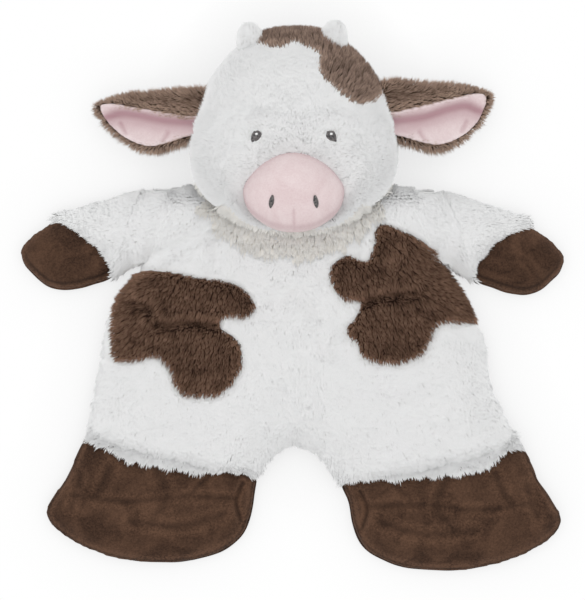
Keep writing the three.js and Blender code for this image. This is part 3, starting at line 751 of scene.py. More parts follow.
palette = {
    furFinish: {  # roots, darker partly as painted shade between the locks; tips; and pale tips, reached at random and by painted sheen and highlights
        "whiteFur": ((246, 246, 245), (252, 253, 253), (255, 255, 255)),
        "creamFur": ((250, 243, 230), (255, 252, 245), (255, 254, 251)),
        "brownFur": ((20, 13, 9), (54, 36, 27), (172, 136, 114)),
        "crownFur": ((28, 18, 13), (67, 47, 38), (216, 188, 170)),
        "earFur": ((58, 41, 33), (90, 67, 55), (200, 172, 153)),
    },
    backingFinish: {
        "whiteBacking": ((249, 249, 247), (242, 242, 239)),
        "brownBacking": ((52, 37, 30), (40, 28, 22)),
    },
    velourFinish: {  # stroked back, brushed (also the painted sheen at rims), painted shade in a fold, and its sheen
        "brownVelour": ((35, 21, 14), (96, 70, 54), (24, 15, 11), 0.04),
        "pinkVelour": ((215, 193, 194), (232, 217, 217), (180, 146, 152), 0.06),
    },
    threadFinish: {
        "darkThread": ((128, 124, 122), (56, 55, 58)),
        "whiteThread": ((250, 250, 250), (232, 232, 232)),
    },
}
finishes = {name: make(name, *values) for make, group in palette.items() for name, values in group.items()}

whiteCoat = {
    "slot": "plush_white", "finish": "whiteFur", "lock": "wavy",
    "density": 1.25, "length": 5.5, "width": 1.48,  # locks to a square millimetre, and their size
    "lift": 0.3, "edgeLift": 1.1,  # how steeply the locks stand, and more so on steep skin
    "wave": 0.45, "waveSize": 20, "stray": 0.12, "clumpSize": 5, "clumping": 0.06,
    "softness": 1, "rimLight": 0.7,
}
faceCoat = {
    **whiteCoat, "density": 1.6, "length": 6, "width": 1.2, "edgeLift": 0.6, "wave": 0.4, "waveSize": 16,
    "clumpSize": 4, "clumping": 0.12, "softness": 0.96, "rimLight": 1.3,
}
collarCoat = {
    **whiteCoat, "finish": "creamFur", "length": 9, "width": 1.3, "lift": 0.4, "wave": 1.1, "waveSize": 9,
    "stray": 0.25, "clumpSize": 6, "clumping": 0.4, "rimLight": 2.5,
}
ruffCoat = {
    **collarCoat, "density": 1.5, "length": 7, "width": 1.15, "wave": 0.7, "stray": 0.2, "clumping": 0.2,
}
hemCoat = {
    **whiteCoat, "density": 1.7, "length": 7.5, "width": 1.5, "lift": 1, "wave": 0.9, "waveSize": 10,
    "stray": 0.22, "clumping": 0.25,
}
hornCoat = {**whiteCoat, "density": 2.6, "length": 2.6, "width": 1.1, "lift": 0.6, "edgeLift": 0.3}
backCoat = {**whiteCoat, "lock": "downy", "density": 0.7, "width": 2.3}  # what lies underneath
brownCoat = {
    "slot": "plush_brown", "finish": "brownFur", "lock": "wavy", "density": 2.4, "length": 6.5,
    "width": 0.57, "lift": 1.2, "edgeLift": 0.3, "wave": 1.2, "waveSize": 12, "stray": 0.35,
    "clumpSize": 3.6, "clumping": 0.5, "softness": 0.4, "rimLight": 0.2,
}
crownCoat = {**brownCoat, "finish": "crownFur", "lift": 0.8, "stray": 0.25}
earCoat = {
    **brownCoat, "slot": "plush_brown_tipped", "finish": "earFur", "density": 1.8, "length": 7, "lift": 0.7,
}


def tufted(at, line, reach, most, size=7):  # longer, ragged pile along a line; 1 elsewhere
    near = np.clip(1 - gapTo(at, line) / reach, 0, 1)
    return 1 + near * np.clip(ripples(at, size) + 0.55, 0, 1.2) * most


def velourPanel(name, side, rim, sizes, layer, folds, seed):
    # One panel of a flat velour form. Only a shown one is stuffed, made finer and folded.
    panel = sizes["panels"][layer]
    rim = looped(rim + (side * panel["shift"][0], panel["shift"][1]))
    form = flatForm([rim], sizes["panelSpacing"])
    gap = gapTo(form[0], rim)
    seam, high, low = panel["heights"]
    top = seam + (high - seam) * crowned(gap, sizes["panelReach"], 2.4)
    bottom = seam - (seam - low) * crowned(gap, 8, 1.6)
    skin = closedSkin(name, form, seam, top, bottom)
    if "stuffing" in panel:
        stuffed(skin, *panel["stuffing"])
        finer(skin)
        pressIn(skin, folds)
    rumpled(skin, *sizes["rumple"], seed)
    skin.data.materials.append(finishes["brownVelour"])
    return skin, placesOf(skin), rim


def bendOver(a, b, out, reach, height):  # where cloth over the line from a to b starts and ends its bend
    middle = Vector(((a[0] + b[0]) / 2, (a[1] + b[1]) / 2 + padShift, height))
    step = Vector((*out, 0)) * reach
    return tuple((middle - step) * mm), tuple((middle + step) * mm)


# Torso: a slack bag of beads with two short leg lobes

torso = {
    "seam": 8.5, "top": 32, "ankleRim": 14,
    "spacing": 4,
    # How far in from its edges the bag swells
    "reach": 55, "neckReach": 15, "ankleReach": 15, "underReach": 14,
    "stuffing": (1.5, 4, 0.03),
    "rumple": (1.6, 34),
    "foldDepth": 0.7, "foldWidth": 1.3,  # shares of the folds' own depths and widths
    "sleeveLap": 7,  # the sleeve's cloth lies over this much of the torso
    "edgeFlare": 10, "edgePale": 7,  # how far from a patch's edge its pile leans outwards, and is painted paler as sheen
    "collar": [(-66, 76), (-50, 60), (-30, 50), (0, 46), (30, 50), (52, 62), (68, 78)], "collarReach": 16,
    "hems": {  # how far ragged pile reaches from an edge, and how much longer it is
        "ankleLeft": (14, 0.7), "ankleRight": (14, 0.7), "flankLeft": (6, 0.5), "flankRight": (6, 0.5),
        "crotch": (12, 1),
    },
    "lapY": -65,  # between the chest's fur and the lap's
    "neckY": 70.1, "crotchY": -128,
    "rightSplay": 19, "rightReach": 7,
    "fill": 0.35,
}

torsoEdge = {  # x and y of the right half, and each point's share in the right leg's splay
    "neckSide": (26, 73.1, 0), "neckBend": (44, 79.6, 0), "neckCorner": (62, 87, 0),
    "shoulderBow": (85.5, 92, 0), "shoulder": (109, 89, 0), "armpit": (130, 31, 0), "rib": (156, -14, 0),
    "waist": (161.5, -46, 0.25), "hip": (167, -78, 0.25), "ankle": (175, -122, 1),
    "legInner": (34, -154, 0.5), "crotchSide": (22, -141, 0.25),
}

bellyPatches = {
    "left": [
        (-152, -4), (-146, 8), (-131, 19), (-116, 22), (-80, 16), (-46, 9), (-33, -7), (-38, -16),
        (-58, -16), (-63, -25), (-46, -40), (-45, -62), (-61, -82), (-76, -85), (-95, -82), (-105, -61),
        (-117, -50), (-130, -53), (-152, -53), (-154, -38), (-154, -20),
    ],
    "right": [
        (74, 62), (92, 58), (120, 42), (145, 18), (185, -10), (185, -20), (140, -21), (123, -23),
        (118, -34), (112, -46), (90, -56), (62, -51), (56, -39), (47, -30), (57, -14), (59, -3), (41, 1),
        (33, 23), (45, 35), (64, 30), (70, 42),
    ],
}

torsoFolds = [  # lines, how deep and how wide
    ([(-132, 32), (-98, 46), (-70, 60)], 4.0, 4.5),
    ([(-66, 62), (-64, 45), (-65, 24)], 3.0, 5),
    ([(132, 32), (104, 46), (72, 60)], 3.0, 5),
    ([(-22, -6), (4, 8), (20, -4)], 2.6, 6),
    ([(-30, -32), (-5, -50), (18, -34), (14, -12)], 2.0, 8),
    ([(14, -30), (15, -60), (14, -92)], 2.4, 4.5),
    ([(22, -30), (30, -42), (48, -32)], 2.8, 5),
    ([(-30, -94), (21, -101), (70, -96), (118, -90)], 2.2, 8),
    ([(68, -126), (105, -100), (150, -68)], 2.4, 12),
    ([(165, -90), (167, -118)], 2.2, 7),
]

patchFolds = [
    ([(-118, -24), (-90, -21), (-66, -23)], 3.6, 4.5), ([(-136, -4), (-122, -7), (-115, -19)], 3.2, 4.5),
    ([(58, -3), (80, 3), (104, 5)], 3.6, 5), ([(92, 40), (84, 20), (86, 4)], 2.4, 5),
]


def torsoSpot(side, name):  # the right leg lies splayed
    x, y, share = torsoEdge[name]
    splayed = side > 0 and share > 0
    reach = torso["rightReach"] if splayed and share > 0.3 else 0
    return side * (x + (torso["rightSplay"] * share if splayed else 0)), y - reach


def torsoRuns():
    def run(side, *names):
        return [torsoSpot(side, name) for name in names]

    neck = ("neckSide", "neckBend", "neckCorner", "shoulderBow", "shoulder")
    flank = ("armpit", "rib", "waist", "hip", "ankle")
    crotch = ("legInner", "crotchSide")
    return {
        "neck": [*run(-1, *neck[::-1]), (0, torso["neckY"]), *run(1, *neck)],
        "armholeRight": run(1, "shoulder", "armpit"),
        "flankRight": run(1, *flank),
        "ankleRight": run(1, "ankle", "legInner"),
        "crotch": [*run(1, *crotch), (0, torso["crotchY"]), *run(-1, *crotch[::-1])],
        "ankleLeft": run(-1, "legInner", "ankle"),
        "flankLeft": run(-1, *flank[::-1]),
        "armholeLeft": run(-1, "armpit", "shoulder"),
    }


def patchesOn(at, upper):
    # Where the belly patches are, how far off their edges, which way the pile is combed and how pale it is
    # painted: sheen at the edges, a highlight on each fold's ridge and shade in the fold
    brown, pale = np.zeros(len(at), bool), np.zeros(len(at))
    toPatch = np.full(len(at), 99.0)
    comb = np.column_stack([at[:, 0] * 0.004, np.full(len(at), -1.0), np.zeros(len(at))])
    for shape in bellyPatches.values():
        loop = loopOf(shape, 4)
        inside = within(at, loop) & upper
        gap, spot = nearestOn(at, looped(loop))
        brown |= inside
        toPatch = np.minimum(toPatch, gap)
        lean = np.clip(1 - gap / torso["edgeFlare"], 0, 1)[:, None] * inside[:, None]
        outward = (spot - at[:, :2]) / np.maximum(gap, 0.5)[:, None]
        comb[:, :2] = comb[:, :2] * (1 - lean * 0.5) + outward * lean * 0.42
        # painted sheen: pile paler near the patch's edge
        pale = np.maximum(pale, np.clip(1 - gap / torso["edgePale"], 0, 1) ** 1.5 * inside)
    for line, _, wide in patchFolds:  # painted highlight along the ridge over a fold, painted shade in it
        line = smoothRun(line)
        pale += nearTo(at, line + (0, 5), wide) * 0.35 - nearTo(at, line, 3) * 0.4
    return brown, toPatch, comb, pale


def makeTorso():
    runs = {name: smoothRun(run) for name, run in torsoRuns().items()}
    form = flatForm(runs.values(), torso["spacing"])
    plan, rimCount, _ = form
    seam, rise = torso["seam"], torso["top"] - torso["seam"]
    free = gapTo(plan, runs["flankLeft"], runs["flankRight"], runs["crotch"])
    ankles = gapTo(plan, runs["ankleLeft"], runs["ankleRight"])
    neck = gapTo(plan, runs["neck"])
    crown = crowned(free, torso["reach"], 3) * crowned(ankles + 5, torso["ankleReach"], 2)
    crown *= crowned(neck, torso["neckReach"], 2.5)
    bottom = np.maximum(floorGap, seam * (1 - crowned(np.minimum(free, neck), torso["underReach"], 1.6)))
    rims = seam + (torso["ankleRim"] - seam) * crowned(free, 40, 1.5) * (ankles < 0.5)
    skin = closedSkin("torso_skin", form, rims[:rimCount], seam + rise * crown, bottom)
    stuffed(skin, *torso["stuffing"])
    smoothed(skin, 2, 0.4)
    finer(skin)
    deeper, wider = torso["foldDepth"], torso["foldWidth"]
    pressIn(skin, [(line, deep * deeper, wide * wider) for line, deep, wide in torsoFolds])
    pressIn(skin, patchFolds)
    rumpled(skin, *torso["rumple"], 1)
    grounded(skin)
    at = placesOf(skin)
    upper = at[:, 2] > seam - 0.5
    brown, toPatch, comb, pale = patchesOn(at, upper)
    twoTone(skin, brown)
    pile = np.max([tufted(at, runs[name], *hem) for name, hem in torso["hems"].items()], axis=0)
    pile *= np.clip(toPatch / torso["edgePale"], 0.35, 1)
    bare = gapTo(at, runs["armholeLeft"], runs["armholeRight"]) <= torso["sleeveLap"] - 2
    collar = np.clip(1 - gapTo(at, smoothRun(torso["collar"])) / torso["collarReach"], 0, 1)
    ruffled = (ripples(at, 9) * 0.6 + collar > 0.4) & (collar > 0) & ~bare
    white = upper & ~brown & ~bare & ~ruffled
    rim = gapTo(at, *runs.values())
    left, chest = at[:, 0] < 0, at[:, 1] > torso["lapY"]
    furs = [
        ("chest_left", whiteCoat, 11, white & chest & left, {"pile": pile}),
        ("chest_right", whiteCoat, 12, white & chest & ~left, {"pile": pile}),
        ("lap_left", whiteCoat, 13, white & ~chest & left, {"pile": pile}),
        ("lap_right", whiteCoat, 14, white & ~chest & ~left, {"pile": pile}),
        ("collar", collarCoat, 17, upper & ~brown & ruffled, {"raised": collar * 0.7}),
        ("torso_back", backCoat, 18, ~upper * (0.6 + 0.4 * (rim < 8)), {"pile": pile}),
        ("patch_left", brownCoat, 21, brown & left, {"pale": pale, "nodes": ["belly_patch_left"]}),
        ("patch_right", brownCoat, 22, brown & ~left, {"pale": pale, "nodes": ["belly_patch_right"]}),
    ]
    for name, coat, seed, cover, more in furs:
        growFur("fur_" + name, skin, "torso", coat, seed, cover, comb, **more)
    return joined(
        rounded(skin), "torso", "plush_white", "front_panel", "back_panel", "shoulder_left", "shoulder_right",
        "liner_front", "liner_back", *("bead_pocket_%d" % k for k in range(1, 10)), fill=torso["fill"],
    )


torsoSkin = makeTorso()
print("torso is made")


# Head: a round stuffed ball, a little flattened

head = {
    "centre": (1, 142, 34),
    "half": 85,
    "rise": 52, "drop": 33.2, "swell": 2.6,
    "rings": (56, 132),
    "shape": [
        (0, 1), (0.3, 0.96), (0.6, 0.76), (0.81, 0.49), (0.93, 0.18), (1, -0.18), (0.94, -0.5),
        (0.7, -0.77), (0.36, -0.94), (0, -1),
    ],
    "folds": [
        ([(-46, 138), (-30, 143), (-14, 140)], 0.9, 6), ([(48, 138), (32, 143), (16, 140)], 0.9, 6),
    ],
    "faceZ": 22,  # above it is the face, below it the back
    "combY": 98,  # the face's pile is combed away from here
    "browY": 138,
    "crown": [
        (-32, 250), (-29, 213), (-11, 209), (4, 212), (15, 207), (23, 201), (21, 194), (26, 182),
        (35, 173), (43, 166), (54, 160), (66, 163), (75, 172), (100, 182), (90, 230), (40, 250),
    ],
    "muzzleValley": 0.34,  # how steeply the face rises again beside the muzzle
    "chin": [(-78, 100), (-40, 64), (1, 56), (42, 64), (80, 100)],
    "chinTuft": (26, 0.9, 9),  # how far ragged pile reaches, how much longer it is and how wide its tufts are
    "ruffTop": 100, "ruffZ": 34, "ruffReach": 3.5,  # cream pile stands out from under the chin, up to here
    "ruffTuft": (40, 0.4, 6),
    "stuffing": (2, 3),
    "rumple": (1.2, 40),
    "fill": 0.85,
}

muzzle = {
    "centre": (1, 90, 61),
    "tilt": 26,
    "half": (43, 35),
    "rise": 35, "drop": 8.75, "swell": 2.4,
    "rings": (40, 84),
    "shape": [
        (0, 1), (0.3, 0.93), (0.58, 0.74), (0.83, 0.44), (1, 0.05), (0.92, -0.42), (0.62, -0.78),
        (0.3, -0.96), (0, -1),
    ],
    "stuffing": (2, 1.5),
    "chinSeam": [(1.5, 57), (1.3, 64), (1, 73)],
    "nostrilX": 18.5, "nostrilY": 79.5, "nostrilTilt": 8,
    "nostril": [(0, 5.6), (1.4, 3.2), (2.1, 0), (1.7, -3.2), (0.3, -5.4), (-1.3, -3), (-1.9, 0), (-1.4, 3.2)],
    "nostrilHeight": 0.9,
    "fill": 0.85,
}

eyes = {
    "x": 31.5, "y": 135,
    "shape": [
        (-0.5, 5), (2, 4.3), (3.7, 2), (4.3, -1.4), (4.1, -4.6), (2, -4.3), (-1.4, -3), (-3.8, -0.6),
        (-4.1, 2), (-2.8, 4.2),
    ],
    "height": 2.3,
    "bare": 3.6, "trimmed": 14,  # no pile under the stitches, and short pile round them
    "glint": [(0, 1.3), (1, 0.8), (1.2, -0.2), (0.4, -1.2), (-0.8, -1), (-1.1, 0.2)],
    "glintY": 1.8, "glintHeight": 2.9,
}


def muzzleRim(grow=0.0):  # the muzzle's outline in plan, as it lies tilted
    lie = math.cos(math.radians(muzzle["tilt"]))
    wide, long = muzzle["half"]
    return halves(muzzle["shape"], wide + grow, (long + grow) * lie, muzzle["centre"], 6)


def seated(skin):  # the face gives way under the muzzle, and eases back up round it
    at = placesOf(skin)
    loop = muzzleRim()
    gap, spot = nearestOn(at, looped(loop))
    rim = muzzle["centre"][2] + (spot[:, 1] - muzzle["centre"][1]) * math.tan(math.radians(muzzle["tilt"]))
    limit = rim - 1.5 + np.where(within(at, loop), -0.4 * np.minimum(gap, 10), head["muzzleValley"] * gap)
    over = at[:, 2] - limit
    at[:, 2] -= (over + np.sqrt(over**2 + 9)) / 2 * np.clip((at[:, 2] - 25) / 12, 0, 1)
    moveTo(skin, at)


def makeHead():
    outline = halves(head["shape"], head["half"], head["half"])
    skin = polarForm("head_skin", outline, head, head["centre"])
    stuffed(skin, *head["stuffing"])
    finer(skin)
    seated(skin)
    smoothed(skin, 8)
    pressIn(skin, head["folds"])
    rumpled(skin, *head["rumple"], 3)
    grounded(skin)
    at = placesOf(skin)
    x, y, z = at.T
    middle = head["centre"][0]
    comb = np.stack([x - middle, (y - head["combY"]) * 1.1, np.full(len(at), -6.0)], axis=1)
    comb /= np.linalg.norm(comb, axis=1, keepdims=True)
    outward = np.stack([x - middle, y - head["centre"][1], np.zeros(len(at))], axis=1)
    outward /= np.maximum(np.linalg.norm(outward, axis=1, keepdims=True), 1)
    face = z > head["faceZ"]
    edge = loopOf(head["crown"], 4)
    crown = within(at, edge) & face
    covered = within(at, muzzleRim(-2)) & face
    chin = smoothRun(head["chin"])
    toChin = gapTo(at, chin)
    toEye = np.minimum(*(np.hypot(x - middle - side * eyes["x"], y - eyes["y"]) for side in (-1, 1)))
    pile = np.minimum(tufted(at, chin, *head["chinTuft"]), np.clip(toEye / eyes["trimmed"], 0.3, 1))
    brim = (toChin < head["ruffReach"]) & (y < head["ruffTop"] - 20) & ~covered
    low = face & ((z <= head["ruffZ"]) & (y < head["ruffTop"]) | brim)
    white = face & ~crown & ~covered & (toEye >= eyes["bare"]) & ~low
    twoTone(skin, crown)
    brow, left = y > head["browY"], x < 1
    # The chin's pile stands out over the collar
    longer = {"pile": pile, "raised": np.clip(1 - toChin / head["chinTuft"][0], 0, 1) * 0.9}
    frill = {"pile": tufted(at, chin, *head["ruffTuft"]), "raised": 0.35}
    furs = [
        ("brow", faceCoat, 31, white & brow, comb, longer),
        ("cheek_left", faceCoat, 32, white & ~brow & left, comb, longer),
        ("cheek_right", faceCoat, 33, white & ~brow & ~left, comb, longer),
        ("head_back", backCoat, 36, ~face, comb, {}),
        ("ruff", ruffCoat, 39, low, outward + (0, 0, 0.1), frill),
        # The crown patch's pile is painted paler near its edge, as sheen on pile seen edge-on
        ("crown", crownCoat, 38, crown, comb, {
            "pale": np.clip(1 - gapTo(at, looped(edge)) / 6, 0, 1) * 0.6, "nodes": ["crown_patch"],
        }),
    ]
    for name, coat, seed, cover, way, more in furs:
        growFur("fur_" + name, skin, "head", coat, seed, cover, way, **more)
    nodes = "face_panel", "head_back_panel", "head_filling"
    return joined(rounded(skin), "head", "plush_white", *nodes, fill=head["fill"])


def makeMuzzle():
    outline = halves(muzzle["shape"], *muzzle["half"])
    place = Matrix.Translation(muzzle["centre"]) @ Matrix.Rotation(math.radians(muzzle["tilt"]), 4, "X")
    skin = polarForm("muzzle_skin", outline, muzzle, place=place)
    stuffed(skin, *muzzle["stuffing"])
    finer(skin)
    pressIn(skin, [(muzzle["chinSeam"], 1.2, 2.2)])
    skin.data.materials.append(finishes["pinkVelour"])
    at = placesOf(skin)
    # Painted shade in the chin seam's groove and round the muzzle's rim
    seam = nearTo(at, smoothRun(muzzle["chinSeam"]), 1.2) * 0.35
    marked(skin, "paintedShade", np.maximum(seam, nearTo(at, looped(muzzleRim()), 2) * 0.3))
    marked(skin, "edge", 0)
    joined(rounded(skin), "head", "velour_pink", "muzzle_cover", "muzzle_filling", fill=muzzle["fill"])
    for side, name in sides:
        turn = math.radians(side * muzzle["nostrilTilt"])
        cos, sin = math.cos(turn), math.sin(turn)
        shape = [(side * x * cos - y * sin, side * x * sin + y * cos) for x, y in muzzle["nostril"]]
        centre = (head["centre"][0] + side * muzzle["nostrilX"], muzzle["nostrilY"])
        title, height = "nostril_threads_" + name, muzzle["nostrilHeight"]
        piece = embroidered(title, skin, shape, centre, side * 20, height, "darkThread")
        joined(piece, "head", "thread_dark", "nostril_" + name)


def makeEyes(skin):
    for side, name in sides:
        x, y = head["centre"][0] + side * eyes["x"], eyes["y"]
        shape = [(side * u, v) for u, v in eyes["shape"]]
        angle = 90 - side * 14
        piece = embroidered("eye_threads_" + name, skin, shape, (x, y), angle, eyes["height"], "darkThread")
        joined(piece, "head", "thread_dark", "eye_" + name)
        centre, height = (x, y + eyes["glintY"]), eyes["glintHeight"]
        piece = embroidered("glint_threads_" + name, skin, eyes["glint"], centre, 90, height, "whiteThread")
        joined(piece, "head", "thread_white", "eye_glint_" + name)


headSkin = makeHead()
makeMuzzle()
makeEyes(headSkin)
print("head is made")


# Horns: two short-piled nubs

horns = {
    "middle": -0.5, "x": 35, "y": 216.5, "z": 46,
    "lean": 1,  # the right horn stands this much further up, the left this much less
    "splay": 10,
    "radius": 11, "rise": 17.5, "drop": 10, "swell": 2.6,
    "rings": (20, 36),
    "rumple": (0.5, 9),
    "fill": 0.9,
}


def makeHorns():
    turn = np.linspace(0, 2 * math.pi, 48, endpoint=False)
    outline = np.stack([np.cos(turn), np.sin(turn)], axis=1) * horns["radius"]
    for side, name in sides:
        spot = (horns["middle"] + side * horns["x"], horns["y"] + side * horns["lean"], horns["z"])
        turned = Matrix.Rotation(math.radians(-side * horns["splay"]), 4, "Z")
        place = Matrix.Translation(spot) @ turned @ Matrix.Rotation(math.radians(-90), 4, "X")
        skin = polarForm("horn_skin_" + name, outline, horns, place=place)
        skin.data.materials.append(finishes["whiteBacking"])
        rumpled(skin, *horns["rumple"], 5 + side)
        growFur("fur_horn_" + name, skin, "head", hornCoat, 41, 1, (side * 0.3, 1, -0.2))
        nodes = "horn_" + name, "horn_filling_" + name
        joined(rounded(skin), "head", "plush_white", *nodes, fill=horns["fill"])


makeHorns()
print("horns are made")


# Ears: plush leaves with a velour lining folded into them

ears = {
    "root": (78, 157, 40),
    "length": 98, "width": 50,
    "turn": 14, "droop": 15, "upturn": {-1: 2.5, 1: 4},
    "higher": {-1: 0, 1: 0.13},  # the right ear stands up a little more
    "thick": 5, "liningDip": 5,
    "spacing": 2.6, "liningSpacing": 2,
    "shape": [
        (0, 0.4), (0.2, 0.38), (0.48, 0.32), (0.72, 0.28), (0.88, 0.2), (1, 0.08), (0.91, -0.14),
        (0.78, -0.36), (0.64, -0.54), (0.47, -0.65), (0.28, -0.58), (0.12, -0.46), (0, -0.34),
    ],
    "lining": [
        (-0.06, -0.06), (0.1, -0.05), (0.29, 0), (0.65, 0.1), (0.85, 0.15), (0.94, 0.09), (0.9, -0.1),
        (0.8, -0.31), (0.66, -0.49), (0.47, -0.6), (0.3, -0.54), (0.15, -0.44), (-0.06, -0.3),
    ],
    "valley": ([(0.88, -0.1), (0.76, -0.02), (0.6, -0.04), (0.35, -0.12), (0.0, -0.16)], 2.5, 3.4),
    "creases": [([(0.74, -0.2), (0.68, -0.38)], 1.2, 1.6), ([(0.3, -0.36), (0.34, -0.5)], 1.4, 2)],
    "fill": 0.2,
}


def onEar(side, shape):
    long, wide, higher = ears["length"], ears["width"], ears["higher"][side]
    return [(side * long * u, wide * (v + higher * min(1, max(0, (v + 0.2) / 0.25)))) for u, v in shape]


def makeLeaf(side, name, place, lining):  # the furry back, with a hollow for the lining
    rim = looped(loopOf([(side * -8, 12), *onEar(side, ears["shape"]), (side * -8, -11)]))
    form = flatForm([rim], ears["spacing"])
    plan = form[0]
    gap = gapTo(plan, rim)
    dip = crowned(gapTo(plan, lining), 10, 2) * within(plan, lining[:-1])
    top = ears["thick"] * crowned(gap, 9, 2.2) - ears["liningDip"] * dip
    leaf = closedSkin("ear_leaf_" + name, form, 0, top, -ears["thick"] * crowned(gap, 14, 2.2))
    finer(leaf)
    at = placesOf(leaf)
    rimGap, spot = nearestOn(at, rim)
    liningGap, inner = nearestOn(at, lining)
    outward = (spot - at[:, :2]) / np.maximum(rimGap, 0.5)[:, None]
    off = (at[:, :2] - inner) / np.maximum(liningGap, 0.5)[:, None]
    front = at[:, 2] > -0.5
    edge = np.clip(1 - rimGap / 12, 0, 1)
    beside = (np.clip(1 - liningGap / 10, 0, 1) * front)[:, None]
    along = np.array([side * 1.0, 0.0]) * (1.3 - edge[:, None])
    flat = outward * edge[:, None] * 0.6 + along * (1 - beside * 0.3) + off * beside * 0.3
    comb = np.array([place.to_3x3() @ Vector(way) for way in np.column_stack([flat, np.zeros(len(at))])])
    # Pile painted paler near the rim and the lining, as sheen on pile seen edge-on
    pale = np.clip(1 - np.minimum(rimGap, np.where(front, liningGap, 99)) / 9, 0, 1)
    pile = np.where(front, np.clip(liningGap / 9, 0.7, 1), 1) + edge * (at[:, 1] < -8) * 0.35
    shown = ~(within(at, lining[:-1]) & (liningGap > 1.6) & front) & (at[:, 0] * side > -6)
    moved(leaf, place)
    leaf.data.materials.append(finishes["brownBacking"])
    growFur("fur_ear_" + name, leaf, "ear_" + name, earCoat, 51 + side, shown, comb, pile, pale)
    joined(rounded(leaf), "ear_" + name, earCoat["slot"], "ear_back_" + name, fill=ears["fill"])


def makeLining(side, name, place, lining):
    form = flatForm([lining], ears["liningSpacing"])
    sunk = ears["thick"] + 1.0 - 4.0 * crowned(gapTo(form[0], lining), 12, 1.6)
    cloth = closedSkin("ear_lining_cloth_" + name, form, 4.6, sunk + 1.2, sunk - 1.6)
    finer(cloth)
    folds = [(onEar(side, line), deep, wide) for line, deep, wide in (ears["valley"], *ears["creases"])]
    pressIn(cloth, folds)
    at = placesOf(cloth)
    # Painted shade in and below the valley and in the creases, and a painted highlight along the lining's rim
    valley = smoothRun(folds[0][0])
    shade = nearTo(at, valley, folds[0][2]) * 0.6 + nearTo(at, valley + (0, -5), 8) * 0.6
    for line, _, wide in folds[1:]:
        shade += nearTo(at, smoothRun(line), wide) * 0.4
    marked(cloth, "paintedShade", np.minimum(shade, 1))
    marked(cloth, "edge", nearTo(at, lining, 3))
    moved(cloth, place)
    cloth.data.materials.append(finishes["pinkVelour"])
    joined(rounded(cloth), "ear_" + name, "velour_pink", "ear_lining_" + name)


def makeEars():
    for side, name in sides:
        tilt = math.radians(side * ears["turn"])
        place = (
            Matrix.Translation((head["centre"][0] + side * ears["root"][0], *ears["root"][1:]))
            @ Matrix.Rotation(tilt, 4, "Z") @ Matrix.Rotation(math.radians(side * ears["droop"]), 4, "Y")
            @ Matrix.Rotation(math.radians(side * ears["upturn"][side]) - tilt, 4, "Z")
        )
        lining = looped(loopOf(onEar(side, ears["lining"])))
        makeLeaf(side, name, place, lining)
        makeLining(side, name, place, lining)


makeEars()
print("ears are made")


# Arms: a sleeve that hangs over a velour hoof

arms = {
    "root": (119.5, 60), "length": 117, "width": 60, "droop": 6,
    "seam": 8.5, "top": 27,
    "spacing": 3.2,
    "tuck": 12,  # how far the sleeve goes in under the torso's plush
    "merge": 20,  # how far out from the armhole the sleeve leaves the torso's surface
    "bend": 10,
    "stuffing": (1.5, 3, 0.02),
    "sleeveRumple": (1.3, 22),
    "cuffTuft": (12, 1.0),
    "sleeve": [
        (0.1, 0.5), (0.39, 0.35), (0.6, 0.24), (0.75, 0.18), (0.66, 0.03), (0.51, -0.12), (0.4, -0.3),
        (0.34, -0.52), (0.32, -0.74), (0.19, -0.57),
    ],
    "hoof": [
        (0.71, 0.12), (0.83, -0.01), (0.93, -0.15), (1, -0.33), (0.98, -0.5), (0.91, -0.66),
        (0.82, -0.81), (0.72, -0.88), (0.6, -0.87), (0.48, -0.81), (0.33, -0.7), (0.27, -0.5),
        (0.33, -0.27), (0.44, -0.06), (0.6, 0.1),
    ],
    "puckers": [
        ([(0.72, -0.78), (0.74, -0.6)], 0.9, 2), ([(0.83, -0.7), (0.8, -0.56)], 0.9, 2),
        ([(0.6, -0.8), (0.62, -0.66)], 0.8, 2), ([(0.92, -0.5), (0.84, -0.44)], 0.6, 2),
    ],
    "edge": 4.5,  # how far the perimeter seam lies inside the hoof's outline
    "panels": {  # heights of the seam, the top and the underside
        "front": {"heights": (8.5, 22, 4), "shift": (0, 0), "stuffing": (1.5, 1.5, 0.02)},
        "back": {"heights": (5, 7.5, floorGap), "shift": (0, -1.6)},
    },
    "panelSpacing": 2.6, "panelReach": 24, "rumple": (0.5, 12),
    "fill": 0.5,
}


def onArm(side, shape):
    droop = arms["droop"] if side > 0 else 0
    (x, y), length, width = arms["root"], arms["length"], arms["width"]
    return [(side * (x + length * u), y + width * v - droop * u) for u, v in shape]


